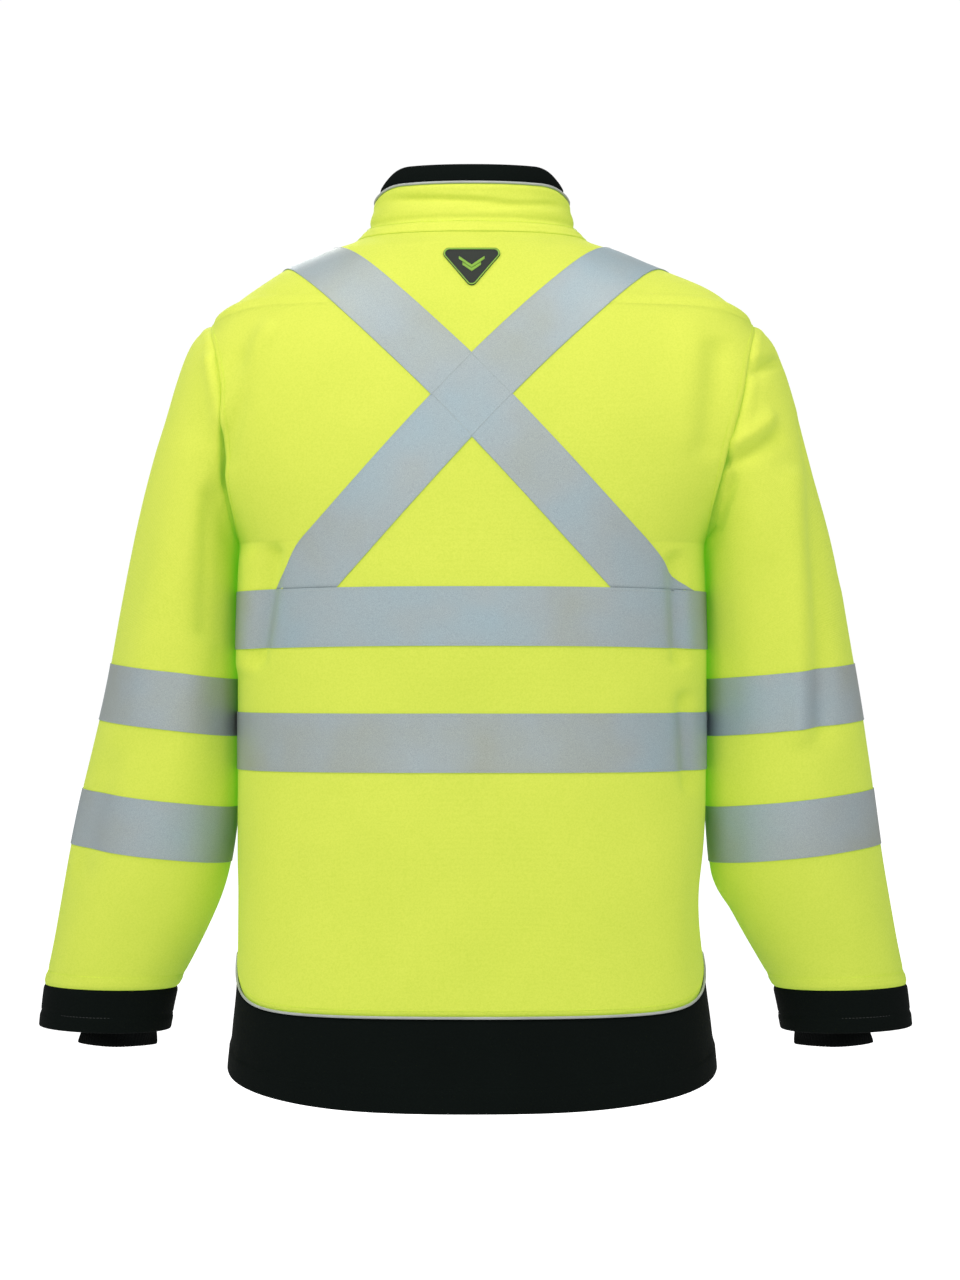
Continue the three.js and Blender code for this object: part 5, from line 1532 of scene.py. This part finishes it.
    def loop_and_label(self) -> None:
        """Builds the hanger loop and the blank label inside the back of the neck."""
        width, rise, strap = 62.0, 19.0, 7.0
        low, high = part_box("hanger_loop")
        centre = (low + high) / 2 / MM
        path = []
        for k in range(81):
            turn = math.pi * k / 80
            x = -math.cos(turn) * (width / 2 - strap / 2)
            path.append((x, -0.0, -(abs(math.sin(turn)) ** 0.55) * (rise - strap) * 1.0))
        path = np.array(path)
        across = np.linspace(width / 2 - strap / 2, -width / 2 + strap / 2, 12)[1:-1]
        bar = np.array([(x, 0.0, 0.0) for x in across])
        line = np.concatenate([path, bar])
        along = unit(np.roll(line, -1, 0) - np.roll(line, 1, 0))
        side = unit(np.cross(along, np.array([0.0, 1.0, 0.0])))
        offsets = np.linspace(-1, 1, 7)
        points = line[:, None] + side[:, None] * offsets[None, :, None] * strap / 2
        points = points + np.array([0.0, float(centre.y) - 0.7, float(centre.z) + (rise - strap) / 2])
        grid = np.transpose(points, (1, 0, 2))
        made = cloth("hanger_loop_tape", grid, 1.3, self.finishes.black, wrap=True, rim=2, flip=True)
        settle(made, "coat", ["hanger_loop"])
        low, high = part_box("neck_label")
        b = self.body
        xs = np.linspace(-24, 24, 25)
        zs = np.linspace(float(low.z) / MM + 2, float(high.z) / MM - 2, 18)
        t = b.ring_of(zs)[:, None] + 0 * xs
        x = np.repeat(xs[None], len(zs), 0)
        a = b.frontal(t, x, True)
        p, n = b.point(t, a), b.normal(t, a)
        points = p - n * 13.6
        made = cloth("neck_label_cloth", points, 0.6, self.finishes.label, rim=1)
        settle(made, "coat", ["neck_label"])


# ---- Fastenings ----------------------------------------------------------------------------------
def block(name: str, low: Triple, high: Triple, bevel: float,
        material: Material, taper: float = 1.0) -> Piece:
    """Makes a box with rounded edges between two corners in millimetres.

    Args:
        name: the object's name.
        low: its lowest corner.
        high: its highest corner.
        bevel: radius of its edges, or 0.
        material: the finish.
        taper: how wide its lower end is beside its upper end.

    Returns:
        The box.
    """
    bpy.ops.object.select_all(action="DESELECT")
    bpy.ops.mesh.primitive_cube_add(size=1)
    made = bpy.context.active_object
    made.name = made.data.name = name
    lo, hi = Vector(low) * MM, Vector(high) * MM
    made.scale, made.location = hi - lo, (hi + lo) / 2
    bpy.ops.object.transform_apply(location=True, rotation=False, scale=True)
    middle = (lo.x + hi.x) / 2
    for corner in made.data.vertices:
        if corner.co.z < (lo.z + hi.z) / 2:
            corner.co.x = middle + (corner.co.x - middle) * taper
    made.data.materials.append(material)
    if bevel:
        round_edges(made, bevel)
    return made


def round_edges(made: Piece, radius: float, segments: int = 3) -> None:
    """Bevels an object's edges, and shades it smoothly across them."""
    bpy.context.view_layer.objects.active = made
    modifier = made.modifiers.new("edges", "BEVEL")
    modifier.width, modifier.segments = radius * MM, segments
    modifier.limit_method, modifier.angle_limit = "ANGLE", 0.6
    bpy.ops.object.modifier_apply(modifier=modifier.name)
    made.select_set(True)
    bpy.ops.object.shade_smooth_by_angle(angle=math.radians(40))


def combine(made: Piece, other: Piece, action: str) -> Piece:
    """Joins another solid to an object, or cuts it away, and removes the other."""
    bpy.context.view_layer.objects.active = made
    modifier = made.modifiers.new("join", "BOOLEAN")
    modifier.operation, modifier.object, modifier.solver = action, other, "EXACT"
    bpy.ops.object.modifier_apply(modifier=modifier.name)
    bpy.data.objects.remove(other)
    return made


@dataclass(frozen=True)
class Pull:
    """A flat tab with a window, hung by its top bar."""

    length: float
    width: float
    thick: float
    window: float

    def build(self, name: str, depth: float, pivot: float, material: Material) -> Piece:
        """Builds the tab with the pivot at height pivot and depth depth in the zip's own axes."""
        w, bar = self.width / 2, self.thick / 2
        box = lambda x, y, low, high: block("cutter", (-x, depth - y, pivot + low),
            (x, depth + y, pivot + high), 0, material)
        made = block(name, (-w, depth - bar, pivot - self.length), (w, depth + bar, pivot + bar), 0,
            material, 0.86)
        made = combine(made, box(self.window, 10, -self.length * 0.42, -bar), "DIFFERENCE")
        for k in range(4):
            low = -self.length * (0.56 + 0.09 * k)
            ridge = block("ridge", (-w * 0.62, depth - bar - 0.25, pivot + low - 0.7),
                (w * 0.62, depth + bar + 0.25, pivot + low + 0.7), 0, material)
            made = combine(made, ridge, "UNION")
        round_edges(made, 0.28, 2)
        return made


@dataclass
class FrontZip:
    """The full-length front zip: tapes, teeth, stops, box, slider and pull, and the flap behind it."""

    body: CoatBody
    finishes: Finishes
    pitch: float = 3.05
    slider_long: float = 15.0

    def __post_init__(self) -> None:
        """Works out the zip's axes: it leans with the coat's straight front."""
        lean = math.hypot(1, self.body.front_lean)
        c, s = 1 / lean, self.body.front_lean / lean
        top = self.body.front_depth(3.0)
        self.axes = Matrix(((1, 0, 0, 0), (0, c, s, -top * MM), (0, -s, c, 3.0 * MM), (0, 0, 0, 1)))
        self.length = 736.8

    def seat(self, made: Piece, nodes: list[str], rides: str, slot: str) -> Piece:
        """Moves a piece from the zip's axes to the coat's and puts it on its body."""
        made.data.transform(self.axes)
        return settle(made, rides, nodes)

    def build(self) -> None:
        """Builds every piece of the zip."""
        f, length = self.finishes, self.length
        for side in Side:
            arm, word = side.value, side.word
            xs = np.sort(arm * np.array([3.5, 3.9, 5.5, 9, 13, 16.6, 17.9, 18.2]))
            zs = np.linspace(-length - 6, 2, 150)
            grid = np.stack(np.broadcast_arrays(xs[None], 4.9 + 0.12 * np.sin(zs / 9)[:, None],
                zs[:, None]), -1)
            tape = cloth(f"zip_tape_{word}_weave", grid, 0.9, f.zip_cloth, rim=1)
            self.seat(tape, [f"zip_tape_{word}"], "coat", "zip_black")
            start = -0.8 - (self.pitch / 2 if side is Side.RIGHT else 0)
            low, high = sorted((arm * 0.55, arm * 3.35))
            tooth = block(f"zip_teeth_{word}", (low, 4.1, start - 1.75), (high, 6.6, start), 0.3, f.teeth)
            array = tooth.modifiers.new("row", "ARRAY")
            array.count = int((length - 12.5) / self.pitch)
            array.use_relative_offset, array.use_constant_offset = False, True
            array.constant_offset_displace = (0, 0, -self.pitch * MM)
            bpy.context.view_layer.objects.active = tooth
            bpy.ops.object.modifier_apply(modifier=array.name)
            self.seat(tooth, [f"zip_chain_{word}"], "coat", "zip_black")
            low, high = sorted((arm * 0.6, arm * 4.1))
            stop = block(f"zip_top_stop_{word}_clip", (low, 3.95, 0), (high, 5.9, 5), 0.6, f.metal)
            self.seat(stop, [f"zip_top_stop_{word}"], "coat", "gunmetal")
        box = block("zip_retainer_box_body", (-5.2, 2.0, -length - 3), (5.2, 4.5, -length + 9.5), 0, f.metal)
        box = combine(box, block("cutter", (-0.35, 1.0, -length + 2), (0.35, 2.5, -length + 11), 0,
            f.metal), "DIFFERENCE")
        round_edges(box, 0.6)
        self.seat(box, ["zip_retainer_box"], "coat", "gunmetal")
        self.slider()
        xs = np.linspace(-29, 29, 21)
        zs = np.linspace(-length - 4, -72, 150)
        x, z = np.meshgrid(xs, zs)
        flap = cloth("storm_flap_cloth", np.stack([x, 10.8 + 0.35 * np.sin(z / 47 + x / 20) ** 2, z], -1),
            1.6, f.black)
        self.seat(flap, ["storm_flap"], "coat", "black_softshell")

    def slider(self) -> None:
        """Builds the slider, whose two plates wrap the teeth, and the pull that hangs in its bail."""
        f, long, top = self.finishes, self.slider_long, -1.0
        cut = lambda low, high: block("cutter", low, high, 0, f.metal)
        made = block("zip_slider_body", (-5.5, 2.15, top - long), (5.5, 8.55, top), 0, f.metal, 0.8)
        round_edges(made, 1.2)
        made = combine(made, cut((-3.75, 3.4, top - long - 5), (3.75, 7.3, top + 5)), "DIFFERENCE")
        made = combine(made, cut((-12, 4.4, top - long - 5), (12, 6.3, top + 5)), "DIFFERENCE")
        made = combine(made, cut((-0.42, 3.0, top - 4), (0.42, 7.6, top - 0.6)), "UNION")
        bail = block("bail", (-1.6, -1.5, top - long * 0.72), (1.6, 2.4, top - long * 0.28), 0.9, f.metal)
        made = combine(made, bail, "UNION")
        made = combine(made, cut((-5, -0.6, top - long * 0.6), (5, 1.9, top - long * 0.4)), "DIFFERENCE")
        bpy.context.view_layer.objects.active = made
        made.select_set(True)
        bpy.ops.object.shade_smooth_by_angle(angle=math.radians(35))
        self.seat(made, ["zip_slider"], "front_slider", "gunmetal")
        tab = Pull(34, 9, 1.6, 2.9).build("zip_pull_tab", 0.65, top - long / 2, f.metal)
        self.seat(tab, ["zip_pull"], "front_pull", "gunmetal")


@dataclass
class HandPocket:
    """A zipped hand pocket: strip, coil, slider, pull and the bag behind the front."""

    side: Side
    body: CoatBody
    finishes: Finishes
    bag_x: tuple[float, float] = (84.0, 172.0)
    bag_z: tuple[float, float] = (-672.0, -478.0)

    def build(self) -> None:
        """Builds the pocket's pieces."""
        f, arm, word = self.finishes, self.side.value, self.side.word
        b, mirror = self.body, np.array([arm, 1.0, 1.0])
        parts = (b.pocket_point, b.pocket_out, b.pocket_up)
        p, out, up = (Vector((part * mirror).tolist()) for part in parts)
        across = (-out).cross(up)
        length = float(np.linalg.norm(b.front_place(*b.pocket_upper)[0] - b.front_place(*b.pocket_lower)[0]))
        axes = Matrix.Identity(4)
        across = across * -1 if across.dot(Vector((1, 0, 0))) < 0 else across
        for k, column in enumerate((across, -out, up, p * MM)):
            for row in range(3):
                axes[row][k] = column[row]
        seat = lambda made, nodes, rides, slot: (made.data.transform(axes),
            settle(made, rides, nodes))[1]

        xs = np.array([-4.5, -4.2, -3.2, -1.9, -1.7, 0, 1.7, 1.9, 3.2, 4.2, 4.5])
        zs = np.linspace(-length, 0, 60)
        depth = np.where(np.abs(xs) < 1.8, -0.2, -0.6)
        grid = np.stack(np.broadcast_arrays(xs[None], depth[None], zs[:, None]), -1)
        strip = cloth(f"pocket_{word}_strip", grid, 1.4, f.zip_cloth)
        seat(strip, [f"pocket_{word}_zip"], "coat", "zip_black")
        coil = block(f"pocket_{word}_coil", (-1.5, -0.75, -2.0), (1.5, -0.25, -1.2), 0.15, f.teeth)
        array = coil.modifiers.new("row", "ARRAY")
        array.count = int((length - 4) / 1.25)
        array.use_relative_offset, array.use_constant_offset = False, True
        array.constant_offset_displace = (0, 0, -1.25 * MM)
        bpy.context.view_layer.objects.active = coil
        bpy.ops.object.modifier_apply(modifier=array.name)
        seat(coil, [], "coat", "zip_black")

        cut = lambda low, high: block("cutter", low, high, 0, f.metal)
        slider = block(f"pocket_{word}_slider_body", (-3.7, -6.2, -11), (3.7, -1.5, -2), 0, f.metal, 0.85)
        round_edges(slider, 0.7)
        for low, high in ((-9, -1.1), (1.1, 9)):
            slider = combine(slider, cut((low, -8, -13), (high, -2.4, 0)), "DIFFERENCE")
        slider = combine(slider, cut((-9, -5.4, -7.76), (9, -2.9, -5.06)), "DIFFERENCE")
        bpy.context.view_layer.objects.active = slider
        slider.select_set(True)
        bpy.ops.object.shade_smooth_by_angle(angle=math.radians(35))
        seat(slider, [f"pocket_{word}_slider"], f"hand_slider_{word}", "gunmetal")
        tab = Pull(22, 5.5, 1.4, 1.9).build(f"pocket_{word}_pull_tab", -4.15, -6.41, f.metal)
        seat(tab, [f"pocket_{word}_pull"], f"hand_pull_{word}", "gunmetal")

        rows = []
        for x in (-8.5, 8.5):
            rows.append(np.array([(x, -0.0, z) for z in np.linspace(-length - 6, 6, 70)]))
        for z in (-length - 6, 6):
            rows.append(np.array([(x, -0.0, z) for x in np.linspace(-8.5, 8.5, 12)]))
        lines = []
        for row in rows:
            world = np.array([list(axes @ Vector(point * MM)) for point in row]) / MM
            t = self.body.ring_of(world[:, 2])
            a = self.body.frontal(t, world[:, 0], False)
            lines.append(self.body.place(t, a, 0.12))
        thread = stitches(f"pocket_{word}_stitching", lines, f.lime_thread)
        settle(thread, "coat", [])

        x = np.linspace(arm * self.bag_x[0], arm * self.bag_x[1], 34)[:: arm]
        z = np.linspace(*self.bag_z, 64)[:, None]
        t = self.body.ring_of(z) + 0 * x
        a = self.body.frontal(t, np.broadcast_to(x, t.shape), False)
        points = hang(self.body.point(t, a) - self.body.normal(t, a) * 5.7)
        bag = cloth(f"pocket_{word}_bag_cloth", points, 1.2, f.black)
        settle(bag, "coat", [f"pocket_{word}_bag"])


# ---- Badge ---------------------------------------------------------------------------------------
@dataclass
class Badge:
    """The small three-cornered badge below the collar, with a raised rim and a plain chevron device."""

    body: CoatBody
    finishes: Finishes
    width: float = 53.0
    height: float = 33.5
    top: float = -19.5
    thickness: float = 1.4

    def outline(self, shrink: float, count: int = 96) -> Array:
        """Points (x, z) of the rounded outline, drawn in by shrink."""
        w, h, r = self.width / 2 - shrink, self.height - 1.4 * shrink, 5.0 - shrink * 0.6
        corners = [(-w + r * 1.35, -r), (0.0, -h + r * 0.85), (w - r * 1.35, -r)]
        arcs = [(0.5 * math.pi, 1.17 * math.pi), (1.22 * math.pi, 1.78 * math.pi),
            (-0.17 * math.pi, 0.5 * math.pi)]
        line = []
        for (cx, cz), (start, stop) in zip(corners, arcs):
            turn = np.linspace(start, stop, 9)
            line += [(cx + r * math.cos(v), cz + r * math.sin(v)) for v in turn]
        line = np.array(line + line[:1])
        run = run_lengths(np.concatenate([line, 0 * line[:, :1]], -1)[None], 1)[0]
        at = np.linspace(0, run[-1], count + 1)[:-1]
        flat = np.stack([np.interp(at, run, line[:, k]) for k in (0, 1)], -1)
        return flat + np.array([0.0, self.top - shrink * 0.8])

    def lay(self, flat: Array, lift: Array | float) -> Array:
        """Lays flat points (x, z) on the back at a lift."""
        t = self.body.ring_of(flat[..., 1])
        return self.body.place(t, self.body.frontal(t, flat[..., 0], True), lift)[0]

    def build(self) -> None:
        """Builds the badge and its device."""
        rings = [(0.0, 0.2), (0.15, 1.15), (0.5, 1.5), (1.9, 1.5), (2.2, 1.2), (2.35, 0.85), (4.0, 0.85),
            (7.0, 0.85)]
        layers = [self.lay(self.outline(shrink), lift) for shrink, lift in rings]
        middle = self.outline(7.0).mean(0)
        for f in (0.66, 0.33):
            layers.append(self.lay(middle + (self.outline(7.0) - middle) * f, 0.85))
        count = len(layers[0])
        points = np.concatenate(layers + [self.lay(middle[None], 0.85)] + [self.lay(self.outline(0.4), -0.35)]
            + [self.lay(middle[None], -0.35)])
        number = np.arange(len(layers) * count).reshape(len(layers), count)
        faces = []
        for low, high in zip(number[:-1], number[1:]):
            faces += np.stack([low, np.roll(low, -1), np.roll(high, -1), high], -1).tolist()
        centre = len(layers) * count
        faces += [[int(a), int(b), centre] for a, b in zip(number[-1], np.roll(number[-1], -1))]
        under = np.arange(centre + 1, centre + 1 + count)
        faces += np.stack([under, np.roll(under, -1), np.roll(number[0], -1), number[0]], -1).tolist()
        faces += [[centre + 1 + count, int(b), int(a)] for a, b in zip(under, np.roll(under, -1))]
        made = mesh_object("badge_patch", points * MM, faces, None, self.finishes.badge)
        made.data.materials.append(self.finishes.badge_edge)
        for k in range(2 * count, 4 * count):
            made.data.polygons[k].material_index = 1
        faces_outward(made)
        settle(made, "coat", ["badge"])
        for k, drop in enumerate((8.0, 13.5)):
            half = 11.0 - 3.2 * k
            spine = np.array([(-half, 0.0), (0.0, -half * 0.72), (half, 0.0)])
            line = np.concatenate([spine[0]
                + (spine[1] - spine[0]) * f for f in np.linspace(0, 1, 9)[:-1, None]]
                + [spine[1]
                + (spine[2] - spine[1]) * f for f in np.linspace(0, 1, 9)[:, None]]).reshape(-1, 2)
            flat = np.stack([line + np.array([0.0, self.top - drop + w]) for w in (-2.4, -1.2, 0.0)], 0)
            grid = self.lay(flat, 1.35)
            device = cloth(f"badge_chevron_{'upper' if k == 0 else 'lower'}", grid, 0.6,
                self.finishes.badge_edge, rim=1, flip=True)
            settle(device, "coat", [])


# ---- Main ----------------------------------------------------------------------------------------
BODY_CREASES = [
    Crease((184, -96), (224, -168), 11, 3.2),
    Crease((205, -120), (213, -200), 12, -2.6),
    Crease((-205, -110), (-203, -190), 11, -2.8),
    Crease((-186, -90), (-190, -180), 16, 1.6),
    Crease((172, -286), (188, -376), 8, -4.6),
    Crease((196, -290), (200, -380), 9, 2.2),
    Crease((-176, -292), (-181, -376), 7, -3.6),
    Crease((-186, -412), (-191, -486), 7, -3.6),
    Crease((150, -560), (170, -640), 20, -1.4),
    Crease((-120, -520), (-150, -640), 26, -1.3),
    Crease((60, -520), (40, -640), 30, 1.0),
    Crease((-60, -230), (-90, -300), 22, -1.0),
    Crease((170, -150), (150, -260), 14, -2.2, False),
    Crease((-175, -140), (-150, -250), 14, -2.4, False),
    Crease((120, -420), (150, -560), 22, -1.8, False),
    Crease((-90, -400), (-130, -560), 24, -1.8, False),
]
SLEEVE_CREASES = {
    Side.LEFT: [
    Crease((219, -176), (214, -222), 6, -3.5),
    Crease((236, -118), (226, -168), 10, 2.6),
    Crease((232, -240), (238, -350), 12, -3.0),
    Crease((262, -200), (300, -420), 22, 2.0),
    Crease((330, -470), (352, -560), 14, -2.4),
    Crease((250, -150), (300, -300), 16, -2.4, False),
    Crease((230, -330), (300, -372), 13, -3.5, False),
    Crease((235, -400), (310, -430), 13, -3.0, False),
    ],
    Side.RIGHT: [
    Crease((-221, -205), (-256, -184), 7, -3.3),
    Crease((-226, -190), (-250, -168), 7, 2.4),
    Crease((-238, -124), (-262, -112), 6, -3.4),
    Crease((-213, -262), (-222, -222), 5, -2.4),
    Crease((-291, -170), (-300, -440), 10, -3.2),
    Crease((-272, -220), (-280, -440), 11, 2.6),
    Crease((-318, -320), (-330, -440), 12, 0.8),
    Crease((-250, -150), (-296, -290), 16, -2.6, False),
    Crease((-228, -322), (-300, -368), 13, -3.5, False),
    Crease((-240, -402), (-312, -436), 13, -3.0, False),
    ],
}


def stage_and_light() -> None:
    """Sets the pale floor, the soft lights, the world and the camera."""
    scene = bpy.context.scene
    scene.view_settings.view_transform = "Standard"
    world = bpy.data.worlds.new("studio")
    scene.world = world
    world.use_nodes = True
    nodes, links = world.node_tree.nodes, world.node_tree.links
    nodes.clear()
    out = nodes.new("ShaderNodeOutputWorld")
    seen, sky, mix = (nodes.new(f"ShaderNode{kind}") for kind in ("Background", "Background", "MixShader"))
    seen.inputs[1].default_value, sky.inputs[1].default_value = 1.02, 0.34
    for shader in (seen, sky):
        shader.inputs[0].default_value = (1.0, 1.0, 1.0, 1.0)
    links.new(nodes.new("ShaderNodeLightPath").outputs["Is Camera Ray"], mix.inputs[0])
    links.new(sky.outputs[0], mix.inputs[1])
    links.new(seen.outputs[0], mix.inputs[2])
    links.new(mix.outputs[0], out.inputs[0])

    bpy.ops.mesh.primitive_plane_add(size=30, location=(0, 0, -1.25))
    floor = bpy.context.active_object
    floor.name = "studio_floor"
    floor.data.materials.append(NodeSheet("studio_floor").finish(
        Base_Color=(0.9, 0.9, 0.9), Roughness=0.95, Specular_IOR_Level=0.0, Emission_Color=(1.0, 1.0, 1.0),
        Emission_Strength=0.74))
    tree = floor.data.materials[0].node_tree
    lit = tree.nodes.new("ShaderNodeMath")
    lit.operation = "MULTIPLY_ADD"
    lit.inputs[1].default_value, lit.inputs[2].default_value = 0.68, 0.2
    tree.links.new(tree.nodes.new("ShaderNodeLightPath").outputs["Is Camera Ray"], lit.inputs[0])
    tree.links.new(lit.outputs[0], tree.nodes["Principled BSDF"].inputs["Emission Strength"])

    def lamp(name: str, place: Triple, size: float, power: float) -> None:
        """Adds a square soft light that faces the coat's middle."""
        data = bpy.data.lights.new(name, "AREA")
        data.shape, data.size, data.energy = "SQUARE", size, power
        made = bpy.data.objects.new(name, data)
        scene.collection.objects.link(made)
        made.location = place
        aim = Vector((0, 0, -0.36)) - Vector(place)
        made.rotation_euler = aim.to_track_quat("-Z", "Y").to_euler()

    lamp("key", (1.2, 2.4, 1.2), 1.1, 19)
    lamp("fill", (-0.15, 3.0, -0.2), 1.0, 10)
    lamp("top", (1.0, 0.95, 1.1), 1.0, 20)
    lamp("top_right", (-1.0, 0.95, 1.1), 1.0, 19)
    lamp("front", (0.45, -2.8, 1.3), 1.6, 56)

    data = bpy.data.cameras.new("camera")
    camera = bpy.data.objects.new("camera", data)
    scene.collection.objects.link(camera)
    camera.location = (-0.0072, 2.6, -0.36)
    camera.rotation_euler = (math.radians(90), 0, math.radians(180))
    data.sensor_width = 36.0
    data.lens = 36.0 * 2.6 / 1.152
    scene.camera = camera


def main() -> None:
    """Builds the coat piece by piece, the stage, the lights and the camera."""
    logging.basicConfig(level=logging.INFO, format="%(message)s")
    finishes = Finishes().build()
    body = CoatBody(creases=BODY_CREASES)
    BodyPanels(body, finishes).build()
    TapeSet(body, finishes).build()
    for side in Side:
        Sleeve(side, finishes, SLEEVE_CREASES[side]).build()
    Collar(body, finishes).build()
    FrontZip(body, finishes).build()
    for side in Side:
        HandPocket(side, body, finishes).build()
    Badge(body, finishes).build()
    stage_and_light()


if __name__ == "__main__":
    main()
